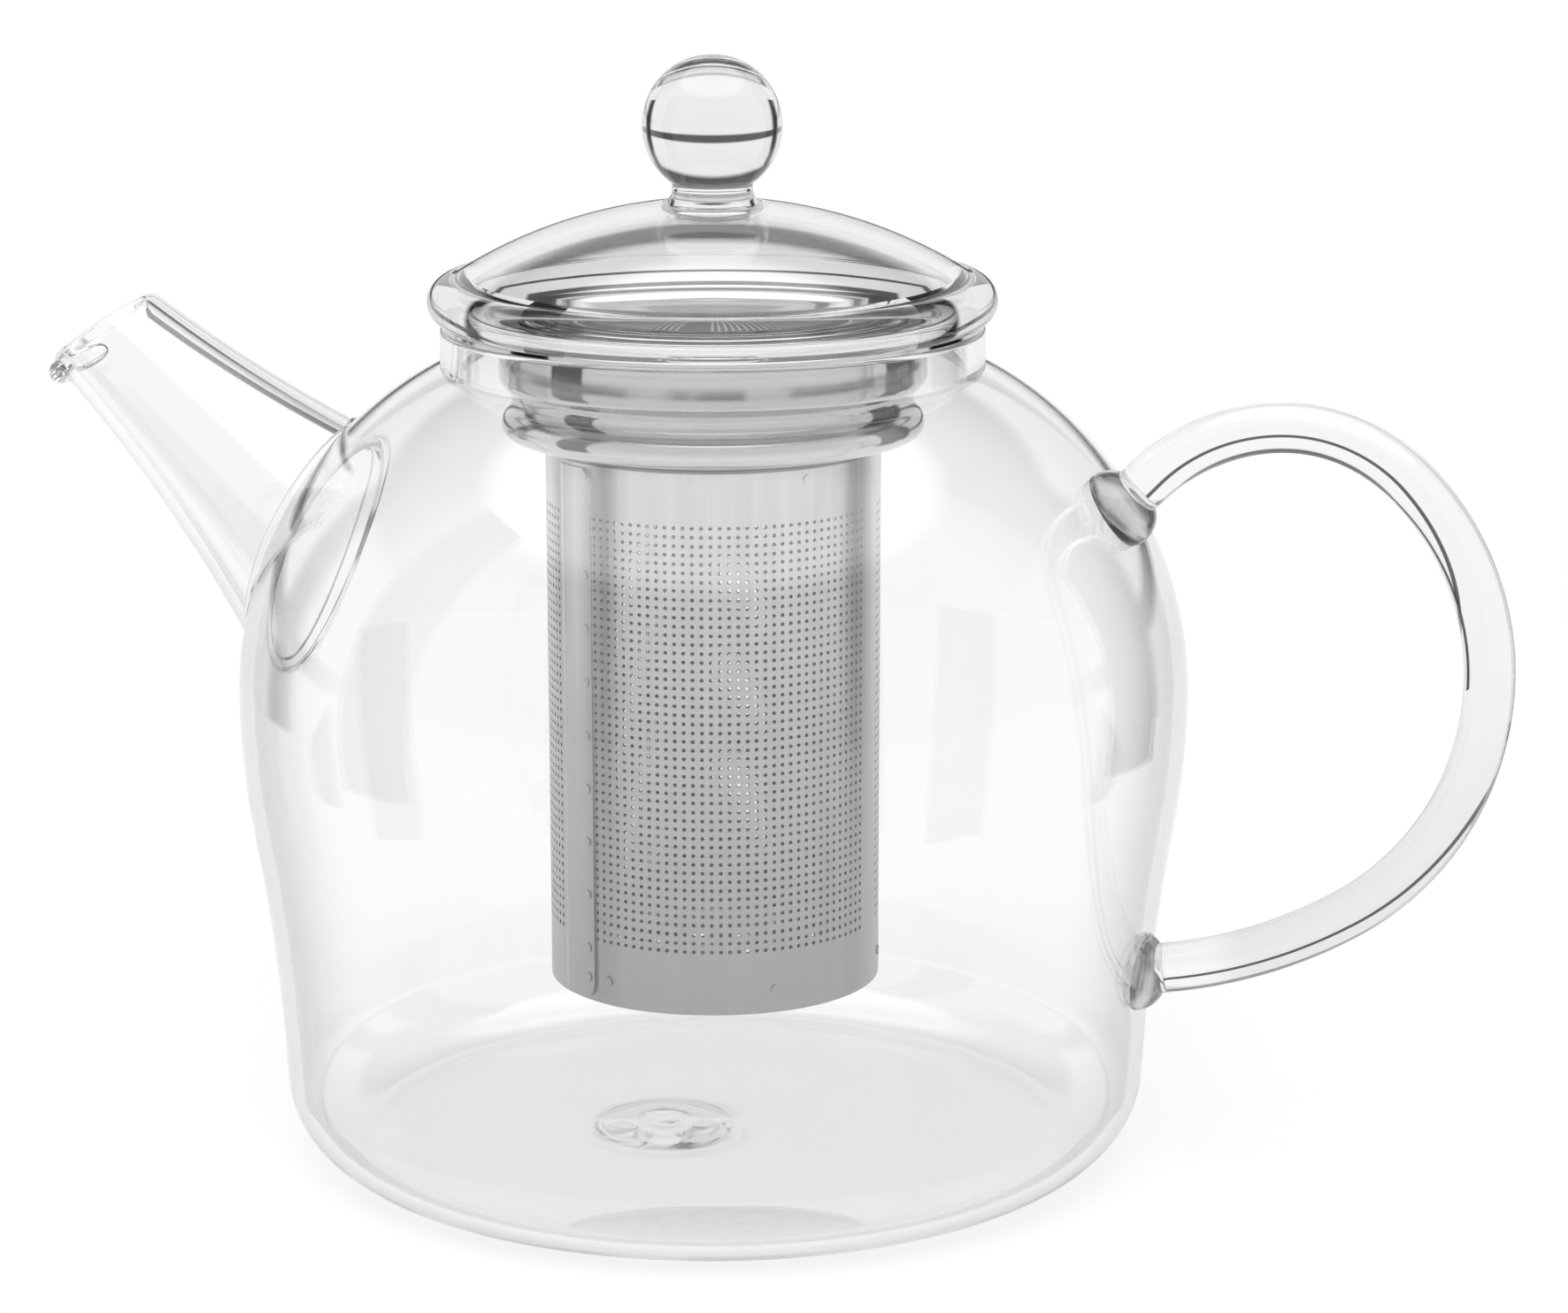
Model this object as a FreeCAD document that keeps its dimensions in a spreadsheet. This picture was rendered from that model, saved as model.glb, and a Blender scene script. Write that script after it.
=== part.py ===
import FreeCAD, Part
import math
import os
import Sketcher

# Glass teapot with a lift-out steel infuser and a loose glass lid.
# Millimetres and degrees. +Z is up, the spout points to -X and the handle to +X.
# The origin is the centre of the flat base that the pot stands on.

# Driving dimensions, one cell each
DIMENSIONS = [
    # blown glass vessel
    ("belly_radius", 75.1), ("belly_height", 75.0), ("belly_swell", 6.2), ("flank_ratio", 2.6),
    ("heel_radius", 13.6), ("heel_lean", 2.5), ("shoulder_radius", 58.0),
    ("neck_radius", 42.6), ("neck_length", 6.4), ("wall", 2.2), ("neck_wall", 2.8),
    ("rim_round", 0.9), ("seal_radius", 10.0), ("seal_height", 1.4),
    # drawn glass spout
    ("spout_overhang", 30.3), ("mouth_drop", 6.1), ("spout_rise", 39.9),
    ("spout_length", 72.0), ("mouth_radius", 9.7), ("root_radius", 27.5),
    ("flare_radius", 250.0), ("spout_wall", 1.8), ("mouth_tilt", 13.5),
    ("lip_radius", 1.7), ("lip_sweep", 110.0), ("lip_setback", 2.1),
    ("spout_weld_width", 1.4), ("spout_weld_height", 1.4),
    # solid glass rod handle
    ("rod_radius", 3.9), ("crown_overhang", 17.2), ("crown_rise", 46.9),
    ("grip_overhang", 48.2), ("grip_rise", 10.0), ("root_bend", 31.0), ("root_turn", 45.0),
    ("knee_bend", 45.8), ("knee_turn", 57.0), ("tail_bend", 77.5), ("tail_turn", 27.0),
    ("rod_spare", 14.0), ("gob_radius", 7.4), ("gob_tip", 4.7), ("gob_length", 5.7), ("gob_sink", 6.8),
    # pressed steel collar of the infuser
    ("collar_sheet", 0.5), ("flange_inset", 0.4), ("collar_gap", 6.2), ("collar_round", 2.0),
    ("collar_depth", 7.0), ("waist_inset", 2.3), ("waist_drop", 4.5), ("bulge_out", 1.7),
    ("bulge_drop", 4.0), ("bulge_round", 2.2), ("cone_angle", 78.0),
    ("throat_round", 0.6), ("throat_length", 6.0),
    # rolled perforated sleeve and its floor
    ("sleeve_step", 6.7), ("sleeve_sheet", 0.4), ("sleeve_length", 85.2),
    ("lap_edge", -116.2), ("lap_turn", 14.6), ("lap_ramp", 3.2), ("weld_gap", 0.05),
    ("hole_radius", 1.2), ("field_top_margin", 8.3), ("field_bottom_margin", 10.2),
    ("field_clear", 4.08), ("column_turn", 12.28),
    ("floor_lift", 0.8), ("floor_rim", 7.0), ("floor_round", 1.5), ("floor_margin", 4.85),
    # resistance welds on the sleeve
    ("nugget_radius", 0.75), ("nugget_height", 0.2), ("collar_weld_drop", 1.6),
    ("floor_weld_rise", 3.8), ("seam_top_margin", 17.2), ("seam_bottom_margin", 8.5),
    ("seam_weld_inset", 1.4), ("first_weld_offset", 5.9),
    # glass lid and ball knob
    ("lid_overhang", 1.9), ("lid_roll", 3.5), ("lid_rise", 11.9), ("lid_wall", 2.6),
    ("lid_ground", 0.2), ("knob_radius", 10.9), ("knob_neck", 6.35), ("knob_lift", 11.6),
    ("knob_fillet", 2.0), ("knob_root_radius", 7.0), ("knob_root_depth", 1.6),
]

# Counts
HOLE_ROWS = 12
HOLE_COLUMNS = 9
HOLE_FIELDS = 3
FLOOR_RINGS = 3
HOLES_PER_RING = 6
COLLAR_WELDS = 5
FLOOR_WELDS = 6
SEAM_WELDS = 8
NUGGET_SIDES = 16

doc = FreeCAD.newDocument("glass_teapot")
sheet = doc.addObject("Spreadsheet::Sheet", "dims")
derived = doc.addObject("Spreadsheet::Sheet", "derived")


class Size:
    # A number together with the expression that ties it to the sheet
    def __init__(self, value, text):
        self.value = value
        self.text = text

    def __add__(self, other):
        other = size(other)
        return Size(self.value + other.value, f"({self.text} + {other.text})")

    def __sub__(self, other):
        other = size(other)
        return Size(self.value - other.value, f"({self.text} - {other.text})")

    def __mul__(self, other):
        other = size(other)
        return Size(self.value * other.value, f"({self.text} * {other.text})")

    def __truediv__(self, other):
        other = size(other)
        return Size(self.value / other.value, f"({self.text} / {other.text})")

    def __radd__(self, other):
        return size(other) + self

    def __rsub__(self, other):
        return size(other) - self

    def __rmul__(self, other):
        return size(other) * self

    def __neg__(self):
        return Size(-self.value, f"(0 - {self.text})")


def size(number):
    if isinstance(number, Size):
        return number
    return Size(float(number), repr(float(number)))


def root(number):
    return Size(math.sqrt(number.value), f"sqrt({number.text})")


def sine(angle):
    return Size(math.sin(math.radians(angle.value)), f"sin({angle.text} * 1 deg)")


def cosine(angle):
    return Size(math.cos(math.radians(angle.value)), f"cos({angle.text} * 1 deg)")


def tangent(angle):
    return Size(math.tan(math.radians(angle.value)), f"tan({angle.text} * 1 deg)")


class Names:
    pass


d = Names()
for row, (alias, number) in enumerate(DIMENSIONS, start=1):
    sheet.set(f"A{row}", alias)
    sheet.set(f"B{row}", str(number))
    sheet.setAlias(f"B{row}", alias)
    setattr(d, alias, Size(number, f"dims.{alias}"))

named = []


def name(alias, number):
    # A worked-out size gets a cell of its own, so that later formulas stay short
    row = len(named) + 1
    derived.set(f"A{row}", alias)
    derived.set(f"B{row}", f"={number.text}")
    derived.setAlias(f"B{row}", alias)
    named.append((alias, number.value))
    return Size(number.value, f"derived.{alias}")


zero = size(0)


# Sketch helpers

def origin_plane(body, role):
    return next(plane for plane in body.Origin.OriginFeatures if plane.Role == role)


def new_body(label):
    body = doc.addObject("PartDesign::Body", label)
    body.Label = label
    return body


def new_sketch(body, label, role):
    sketch = body.newObject("Sketcher::SketchObject", label)
    sketch.AttachmentSupport = (origin_plane(body, role), [""])
    sketch.MapMode = "FlatFace"
    return sketch


def lift(sketch, height):
    sketch.AttachmentOffset = FreeCAD.Placement(FreeCAD.Vector(0, 0, height.value), FreeCAD.Rotation())
    sketch.setExpression("AttachmentOffset.Base.z", height.text)


def bind(sketch, constraint, expression):
    sketch.setExpression(f"Constraints[{sketch.addConstraint(constraint)}]", expression)


def vector(x, y):
    return FreeCAD.Vector(x.value, y.value, 0)


def arc_between(start, end, radius, side):
    # The short arc from start to end with its centre on the given side of the way
    chord = end - start
    rise = math.sqrt(max(radius ** 2 - (chord.Length / 2) ** 2, 0))
    across = FreeCAD.Vector(-chord.y, chord.x, 0).normalize()
    sign = 1 if side == "left" else -1
    centre = (start + end) * 0.5 + across * rise * sign
    circle = Part.Circle(centre, FreeCAD.Vector(0, 0, 1), radius)
    first, last = (start, end) if side == "left" else (end, start)
    begin = math.atan2(first.y - centre.y, first.x - centre.x)
    finish = math.atan2(last.y - centre.y, last.x - centre.x)
    return Part.ArcOfCircle(circle, begin, finish)


def pin_point(sketch, geometry, end, x, y):
    # Ties one end of a sketch line to its place: on an axis, or by a distance from it
    if x.value == 0:
        sketch.addConstraint(Sketcher.Constraint("PointOnObject", geometry, end, -2))
    else:
        bind(sketch, Sketcher.Constraint("DistanceX", -1, 1, geometry, end, x.value), x.text)
    if y.value == 0:
        sketch.addConstraint(Sketcher.Constraint("PointOnObject", geometry, end, -1))
    else:
        bind(sketch, Sketcher.Constraint("DistanceY", -1, 1, geometry, end, y.value), y.text)


def draw(sketch, path, closed=True):
    # Each stop is (x, y) before a straight line, or (x, y, radius, side) before an arc
    count = len(path) if closed else len(path) - 1
    ends = []
    for index in range(count):
        stop = path[index]
        after = path[(index + 1) % len(path)]
        start, finish = vector(*stop[:2]), vector(*after[:2])
        if len(stop) == 2:
            geometry = sketch.addGeometry(Part.LineSegment(start, finish), False)
            ends.append((geometry, 1, 2))
        else:
            arc = arc_between(start, finish, stop[2].value, stop[3])
            geometry = sketch.addGeometry(arc, False)
            ends.append((geometry, 1, 2) if stop[3] == "left" else (geometry, 2, 1))
    for index, (geometry, first, last) in enumerate(ends):
        if closed or index + 1 < count:
            following, begin, _ = ends[(index + 1) % count]
            sketch.addConstraint(Sketcher.Constraint("Coincident", geometry, last, following, begin))
    for index, (geometry, first, last) in enumerate(ends):
        pin_point(sketch, geometry, first, *path[index][:2])
        if len(path[index]) == 4:
            radius = path[index][2]
            bind(sketch, Sketcher.Constraint("Radius", geometry, radius.value), radius.text)
    if not closed:
        geometry, first, last = ends[-1]
        pin_point(sketch, geometry, last, *path[-1][:2])


def backwards(path):
    # The same way walked from its end, with each arc on the other side
    turned = []
    for index in range(len(path) - 1, -1, -1):
        stop = path[index][:2]
        if index > 0 and len(path[index - 1]) == 4:
            radius, side = path[index - 1][2:]
            stop = stop + (radius, "right" if side == "left" else "left")
        turned.append(stop)
    return turned


def lathe(label, path):
    # A body turned about its own upright axis from a closed half section
    body = new_body(label)
    sketch = new_sketch(body, label + "_section", "XZ_Plane")
    draw(sketch, path)
    turned = body.newObject("PartDesign::Revolution", label + "_turned")
    turned.Profile = sketch
    turned.ReferenceAxis = (sketch, ["V_Axis"])
    turned.Angle = 360
    return body


def boolean(kind, label, base, tool):
    result = doc.addObject(kind, label)
    result.Base = base
    result.Tool = tool
    return result


# Vessel wall: heel arc, hollow flank, full belly, round shoulder, straight neck

heel_reach = name("heel_reach", d.belly_radius - d.belly_swell)
base_radius = name("base_radius", heel_reach - d.heel_radius * cosine(d.heel_lean))
heel_top = name("heel_top", d.heel_radius * (1 - sine(d.heel_lean)))
flank_rise = name("flank_rise", d.belly_height - heel_top)

# The hollow flank and the belly above it share one tangent where their arcs meet
heel_sin = name("heel_sin", sine(d.heel_lean))
heel_cos = name("heel_cos", cosine(d.heel_lean))
curve_square = name("curve_square", 2 * d.flank_ratio * (1 - heel_cos))
curve_half = name(
    "curve_half",
    d.belly_swell * (1 + d.flank_ratio * heel_cos) - flank_rise * d.flank_ratio * heel_sin)
curve_rest = name("curve_rest", flank_rise * flank_rise + d.belly_swell * d.belly_swell)
belly_curve = name(
    "belly_curve",
    (root(curve_half * curve_half + curve_square * curve_rest) - curve_half) / curve_square)
flank_radius = name("flank_radius", belly_curve * d.flank_ratio)
curve_sum = name("curve_sum", belly_curve + flank_radius)
flank_sin = name("flank_sin", (flank_rise + flank_radius * heel_sin) / curve_sum)
flank_cos = name("flank_cos", (belly_curve + flank_radius * heel_cos - d.belly_swell) / curve_sum)
shoulder_centre = name("shoulder_centre", d.belly_radius - d.shoulder_radius)


def shoulder_height(shoulder, reach):
    # How high the shoulder is where it has closed in to this radius
    inset = reach - shoulder_centre
    return d.belly_height + root(shoulder * shoulder - inset * inset)


rim_height = name("rim_height", shoulder_height(d.shoulder_radius, d.neck_radius) + d.neck_length)


def wall_curve(grow, neck):
    # The wall from base to neck, moved out by grow along its normal
    heel = d.heel_radius + grow
    belly = belly_curve + grow
    shoulder = d.shoulder_radius + grow
    return [
        (base_radius, -grow, heel, "left"),
        (base_radius + heel * heel_cos, d.heel_radius - heel * heel_sin, flank_radius - grow, "right"),
        (d.belly_radius - belly_curve + belly * flank_cos, d.belly_height - belly * flank_sin,
         belly, "left"),
        (d.belly_radius + grow, d.belly_height, shoulder, "left"),
        (neck, shoulder_height(shoulder, neck)),
    ]


def envelope(label, grow):
    # The whole pot as a filled solid, used to trim what is fused to its outside
    neck = d.neck_radius + grow
    top = rim_height + grow
    return lathe(label, [(zero, -grow)] + wall_curve(grow, neck) + [(neck, top), (zero, top)])


neck_inside = name("neck_inside", d.neck_radius - d.neck_wall)
seal_curve = name(
    "seal_curve",
    (d.seal_radius * d.seal_radius + d.seal_height * d.seal_height) / (2 * d.seal_height))
rim_start = rim_height - d.rim_round
vessel_blank = lathe(
    "vessel_blank",
    [(zero, zero)]
    + wall_curve(zero, d.neck_radius)
    + [(d.neck_radius, rim_start, d.rim_round, "left"),
       (d.neck_radius - d.rim_round, rim_height),
       (neck_inside + d.rim_round, rim_height, d.rim_round, "left"),
       (neck_inside, rim_start)]
    + backwards(wall_curve(-d.wall, neck_inside))
    + [(d.seal_radius, d.wall, seal_curve, "right"), (zero, d.wall + d.seal_height)])
pot_outside = envelope("pot_outside", zero)


# Spout: a flared tube on a leaning axis, with its mouth cut level for pouring

spout_reach = name("spout_reach", d.belly_radius + d.spout_overhang)
spout_height = name("spout_height", rim_height - d.mouth_drop)

def lean_to_spout(body):
    # Local Z runs out along the spout, local X points to its upper side
    body.Placement = FreeCAD.Placement(
        FreeCAD.Vector(-spout_reach.value, 0, spout_height.value),
        FreeCAD.Rotation(FreeCAD.Vector(0, 1, 0), d.spout_rise.value - 90))
    body.setExpression("Placement.Base.x", (-spout_reach).text)
    body.setExpression("Placement.Base.z", spout_height.text)


mouth_rise = name("mouth_rise", d.mouth_radius * tangent(d.mouth_tilt))
mouth_spare = name("mouth_spare", mouth_rise + 3 * d.lip_radius)


def spout_solid(label, grow):
    # The flared outside of the spout, moved out by grow, past its mouth and its root
    mouth = d.mouth_radius + grow
    body = lathe(label, [
        (zero, -d.spout_length),
        (d.root_radius + grow, -d.spout_length, d.flare_radius - grow, "right"),
        (mouth, zero),
        (mouth, mouth_spare),
        (zero, mouth_spare)])
    lean_to_spout(body)
    return body


spout_outside = spout_solid("spout_outside", zero)
spout_bore = spout_solid("spout_bore", -d.spout_wall)

mouth_cut = spout_outside.newObject("PartDesign::Pocket", "mouth_cut")
mouth_side = new_sketch(spout_outside, "mouth_side", "XZ_Plane")
cut_reach = 3 * d.mouth_radius
draw(mouth_side, [
    (-cut_reach, cut_reach * tangent(d.mouth_tilt)),
    (cut_reach, -cut_reach * tangent(d.mouth_tilt)),
    (cut_reach, 2 * cut_reach),
    (-cut_reach, 2 * cut_reach)])
mouth_cut.Profile = mouth_side
mouth_cut.Type = "ThroughAll"
mouth_cut.Midplane = True
spout_outside.Tip = mouth_cut

# The drip lip is a bead round the lower part of the mouth
lip = new_body("lip_bead")
lip_side = new_sketch(lip, "lip_side", "XZ_Plane")
lip_reach = d.mouth_radius / cosine(d.mouth_tilt) - d.spout_wall / 2 + d.lip_radius / 2
lip_x = -(lip_reach * cosine(d.mouth_tilt)) - d.lip_setback * sine(d.mouth_tilt)
lip_z = lip_reach * sine(d.mouth_tilt) - d.lip_setback * cosine(d.mouth_tilt)
axis_x = d.mouth_radius * sine(d.mouth_tilt)
axis_z = d.mouth_radius * cosine(d.mouth_tilt)
lip_circle = lip_side.addGeometry(
    Part.Circle(vector(lip_x, lip_z), FreeCAD.Vector(0, 0, 1), d.lip_radius.value), False)
pin_point(lip_side, lip_circle, 3, lip_x, lip_z)
bind(lip_side, Sketcher.Constraint("Radius", lip_circle, d.lip_radius.value), d.lip_radius.text)
lip_axis = lip_side.addGeometry(Part.LineSegment(vector(zero, zero), vector(axis_x, axis_z)), True)
pin_point(lip_side, lip_axis, 1, zero, zero)
pin_point(lip_side, lip_axis, 2, axis_x, axis_z)
lip_turned = lip.newObject("PartDesign::Revolution", "lip_turned")
lip_turned.Profile = lip_side
lip_turned.ReferenceAxis = (lip_side, ["Axis0"])
lip_turned.Angle = d.lip_sweep.value
lip_turned.setExpression("Angle", d.lip_sweep.text)
lip_turned.Midplane = True
lean_to_spout(lip)

spout_tube = boolean("Part::Cut", "spout_tube", spout_outside, spout_bore)
spout_with_lip = boolean("Part::Fuse", "spout_with_lip", spout_tube, lip)
spout = boolean("Part::Cut", "spout", spout_with_lip, pot_outside)
vessel_body = boolean("Part::Cut", "vessel_body", vessel_blank, spout_bore)

# A raised bead of glass follows the joint between spout and vessel
weld_blank = spout_solid("weld_blank", d.spout_weld_width)
weld_depth = envelope("weld_depth", d.spout_weld_height)
weld_band = boolean("Part::Common", "weld_band", weld_blank, weld_depth)
weld_ring = boolean("Part::Cut", "weld_ring", weld_band, pot_outside)
spout_weld = boolean("Part::Cut", "spout_weld", weld_ring, spout_outside)


# Handle: one rod bent to an ear shape, from its grip up over the crown and down round the knee

crown_reach = name("crown_reach", d.belly_radius + d.crown_overhang)
crown_height = name("crown_height", d.belly_height + d.crown_rise)
grip_reach = name("grip_reach", d.belly_radius + d.grip_overhang)
grip_height = name("grip_height", d.belly_height + d.grip_rise)

# Two arcs that meet at half of a right angle lead from the grip to the crown
lean = name("lean", sine(size(45)))
crown_run = name("crown_run", grip_reach - crown_reach)
crown_climb = name("crown_climb", crown_height - grip_height)
crown_bend = name("crown_bend", (lean * crown_run - (1 - lean) * crown_climb) / (2 * lean - 1))
grip_bend = name("grip_bend", (lean * crown_climb - (1 - lean) * crown_run) / (2 * lean - 1))

# From the crown the rod dips to the shoulder and runs straight into it
root_x = name("root_x", crown_reach - d.root_bend * sine(d.root_turn))
root_z = name("root_z", crown_height - d.root_bend * (1 - cosine(d.root_turn)))
root_out = name("root_out", root_x - shoulder_centre)
root_up = name("root_up", root_z - d.belly_height)
root_along = name("root_along", root_out * cosine(d.root_turn) + root_up * sine(d.root_turn))
root_miss = name("root_miss", root_out * root_out + root_up * root_up - root_along * root_along)
root_run = name("root_run", root_along - root(d.shoulder_radius * d.shoulder_radius - root_miss))


def along_root(run):
    return root_x - run * cosine(d.root_turn), root_z - run * sine(d.root_turn)


# Below the grip it turns round the knee and runs straight into the flank
knee_x = name("knee_x", grip_reach - d.knee_bend * (1 - cosine(d.knee_turn)))
knee_z = name("knee_z", grip_height - d.knee_bend * sine(d.knee_turn))
tail_angle = name("tail_angle", d.knee_turn + d.tail_turn)
tail_x = name("tail_x", knee_x - d.tail_bend * (cosine(d.knee_turn) - cosine(tail_angle)))
tail_z = name("tail_z", knee_z - d.tail_bend * (sine(tail_angle) - sine(d.knee_turn)))
tail_run = name("tail_run", (tail_x - heel_reach) / sine(tail_angle))


def along_tail(run):
    return tail_x - run * sine(tail_angle), tail_z - run * cosine(tail_angle)


upper_way = [
    (grip_reach, grip_height, grip_bend, "left"),
    (crown_reach + crown_bend * lean, crown_height - crown_bend * (1 - lean), crown_bend, "left"),
    (crown_reach, crown_height, d.root_bend, "left"),
    (root_x, root_z),
    along_root(root_run + d.rod_spare),
]
lower_way = [
    (grip_reach, grip_height, d.knee_bend, "right"),
    (knee_x, knee_z, d.tail_bend, "right"),
    (tail_x, tail_z),
    along_tail(tail_run + d.rod_spare),
]
rod = new_body("rod")
for way_label, way in (("upper", upper_way), ("lower", lower_way)):
    spine = new_sketch(rod, way_label + "_way", "XZ_Plane")
    draw(spine, way, closed=False)
    section = new_sketch(rod, way_label + "_section", "XY_Plane")
    lift(section, grip_height)
    circle = section.addGeometry(
        Part.Circle(vector(grip_reach, zero), FreeCAD.Vector(0, 0, 1), d.rod_radius.value), False)
    pin_point(section, circle, 3, grip_reach, zero)
    bind(section, Sketcher.Constraint("Radius", circle, d.rod_radius.value), d.rod_radius.text)
    pipe = rod.newObject("PartDesign::AdditivePipe", way_label + "_pipe")
    pipe.Profile = section
    pipe.Spine = (spine, [f"Edge{edge + 1}" for edge in range(len(way) - 1)])
handle = boolean("Part::Cut", "handle", rod, pot_outside)


def weld_gob(label, x, z, turn):
    # A cone of glass run round the end of the rod, trimmed to the vessel and to the rod
    cone = doc.addObject("Part::Cone", label + "_cone")
    height = d.gob_sink + d.gob_length
    for field, number in (("Radius1", d.gob_radius), ("Radius2", d.gob_tip), ("Height", height)):
        setattr(cone, field, number.value)
        cone.setExpression(field, number.text)
    base_x = x - d.gob_sink * sine(turn)
    base_z = z - d.gob_sink * cosine(turn)
    cone.Placement = FreeCAD.Placement(
        FreeCAD.Vector(base_x.value, 0, base_z.value),
        FreeCAD.Rotation(FreeCAD.Vector(0, 1, 0), turn.value))
    cone.setExpression("Placement.Base.x", base_x.text)
    cone.setExpression("Placement.Base.z", base_z.text)
    sleeve = boolean("Part::Cut", label + "_sleeve", cone, rod)
    return boolean("Part::Cut", label, sleeve, pot_outside)


handle_top_weld = weld_gob("handle_top_weld", *along_root(root_run), 90 - d.root_turn)
handle_bottom_weld = weld_gob("handle_bottom_weld", *along_tail(tail_run), tail_angle)


# Infuser collar: flange on the rim, straight wall, waist, bulge, cone and throat

flange_radius = name("flange_radius", d.neck_radius - d.flange_inset)
collar_radius = name("collar_radius", neck_inside - d.collar_gap)
collar_foot = name("collar_foot", rim_height - d.collar_depth)
waist_radius = name("waist_radius", collar_radius - d.waist_inset)
waist_height = name("waist_height", collar_foot - d.waist_drop)
bulge_radius = name("bulge_radius", waist_radius + d.bulge_out)
bulge_height = name("bulge_height", waist_height - d.bulge_drop)
sleeve_radius = name("sleeve_radius", bulge_radius - d.sleeve_step)
sleeve_inside = name("sleeve_inside", sleeve_radius - d.sleeve_sheet)
fitted_radius = name("fitted_radius", sleeve_inside - d.weld_gap)
seat_height = name("seat_height", rim_height + d.collar_sheet)


def wave(label, upper_radius, upper_height, lower_radius, lower_height):
    # Two equal arcs that join two upright stretches of wall
    step = upper_radius - lower_radius
    drop = upper_height - lower_height
    sign = 1 if step.value > 0 else -1
    return name(label, (drop * drop + step * step) / (4 * sign * step))


foot_wave = wave("foot_wave", collar_radius, collar_foot, waist_radius, waist_height)
waist_wave = wave("waist_wave", waist_radius, waist_height, bulge_radius, bulge_height)
cone_cos = name("cone_cos", cosine(d.cone_angle))
cone_sin = name("cone_sin", sine(d.cone_angle))
cone_top_radius = name("cone_top_radius", bulge_radius - d.bulge_round * (1 - cone_cos))
cone_foot_radius = name("cone_foot_radius", fitted_radius + d.throat_round * (1 - cone_cos))
cone_drop = name("cone_drop", (cone_top_radius - cone_foot_radius) * cone_cos / cone_sin)
throat_top = name(
    "throat_top",
    bulge_height - d.bulge_round * cone_sin - cone_drop - d.throat_round * cone_sin)
throat_bottom = name("throat_bottom", throat_top - d.throat_length)


def collar_side(inward):
    # One face of the collar's sheet from flange to throat, moved inward along its normal
    foot_centre = collar_radius - foot_wave
    waist_mid_radius = (waist_radius + bulge_radius) / 2
    waist_mid_height = (waist_height + bulge_height) / 2
    waist_centre = waist_radius + waist_wave
    foot_mid_radius = (collar_radius + waist_radius) / 2
    foot_mid_height = (collar_foot + waist_height) / 2
    foot_share = (foot_wave - inward) / foot_wave
    waist_share = (waist_wave + inward) / waist_wave
    bulge_centre = bulge_radius - d.bulge_round
    bulge = d.bulge_round - inward
    throat_centre = fitted_radius + d.throat_round
    throat = d.throat_round + inward
    return [
        (flange_radius, rim_height + inward),
        (collar_radius + d.collar_round, rim_height + inward, d.collar_round + inward, "left"),
        (collar_radius - inward, rim_height - d.collar_round),
        (collar_radius - inward, collar_foot, foot_wave - inward, "right"),
        (foot_centre + (foot_mid_radius - foot_centre) * foot_share,
         collar_foot + (foot_mid_height - collar_foot) * foot_share, foot_wave + inward, "left"),
        (waist_radius - inward, waist_height, waist_wave + inward, "left"),
        (waist_centre + (waist_mid_radius - waist_centre) * waist_share,
         waist_height + (waist_mid_height - waist_height) * waist_share, waist_wave - inward, "right"),
        (bulge_radius - inward, bulge_height, bulge, "right"),
        (bulge_centre + bulge * cone_cos, bulge_height - bulge * cone_sin),
        (throat_centre - throat * cone_cos, throat_top + throat * cone_sin, throat, "left"),
        (fitted_radius - inward, throat_top),
        (fitted_radius - inward, throat_bottom),
    ]


infuser_collar = lathe("infuser_collar", collar_side(zero) + backwards(collar_side(d.collar_sheet)))


# Infuser sleeve: a rolled sheet with a lapped seam and three fields of holes

def polar(radius, angle):
    return radius * cosine(angle), radius * sine(angle)


def centred_circle(sketch, radius):
    circle = sketch.addGeometry(
        Part.Circle(FreeCAD.Vector(), FreeCAD.Vector(0, 0, 1), radius.value), False)
    sketch.addConstraint(Sketcher.Constraint("Coincident", circle, 3, -1, 1))
    bind(sketch, Sketcher.Constraint("Radius", circle, radius.value), radius.text)


def pad(body, label, sketch, length):
    feature = body.newObject("PartDesign::Pad", label)
    feature.Profile = sketch
    feature.Length = length.value
    feature.setExpression("Length", length.text)
    return feature


def punches(label, length, places):
    # Round punches of the hole size, each with its start and its direction
    tools = doc.addObject("Part::Feature", label)
    tools.Shape = Part.makeCompound([
        Part.makeCylinder(d.hole_radius.value, length, start, along) for start, along in places])
    return tools


sleeve_blank = new_body("sleeve_blank")
sleeve_bottom = name("sleeve_bottom", throat_top - d.sleeve_length)
ring = new_sketch(sleeve_blank, "sleeve_ring", "XY_Plane")
lift(ring, sleeve_bottom)
centred_circle(ring, sleeve_radius)
centred_circle(ring, sleeve_inside)
pad(sleeve_blank, "sleeve_tube", ring, d.sleeve_length)

lap_outside = name("lap_outside", sleeve_radius + d.sleeve_sheet)
lap_root = sleeve_radius - d.sleeve_sheet / 2
lap_start = d.lap_edge - d.lap_turn
ramp_start = lap_start - d.lap_ramp
lap = new_sketch(sleeve_blank, "seam_lap", "XY_Plane")
lift(lap, sleeve_bottom)
draw(lap, [
    polar(sleeve_radius, ramp_start),
    polar(lap_outside, lap_start) + (lap_outside, "left"),
    polar(lap_outside, d.lap_edge),
    polar(lap_root, d.lap_edge) + (lap_root, "right"),
    polar(lap_root, ramp_start)])
pad(sleeve_blank, "seam_strip", lap, d.sleeve_length)


def outward(angle):
    return FreeCAD.Vector(math.cos(math.radians(angle)), math.sin(math.radians(angle)), 0)


def up(height):
    return FreeCAD.Vector(0, 0, height)


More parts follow.
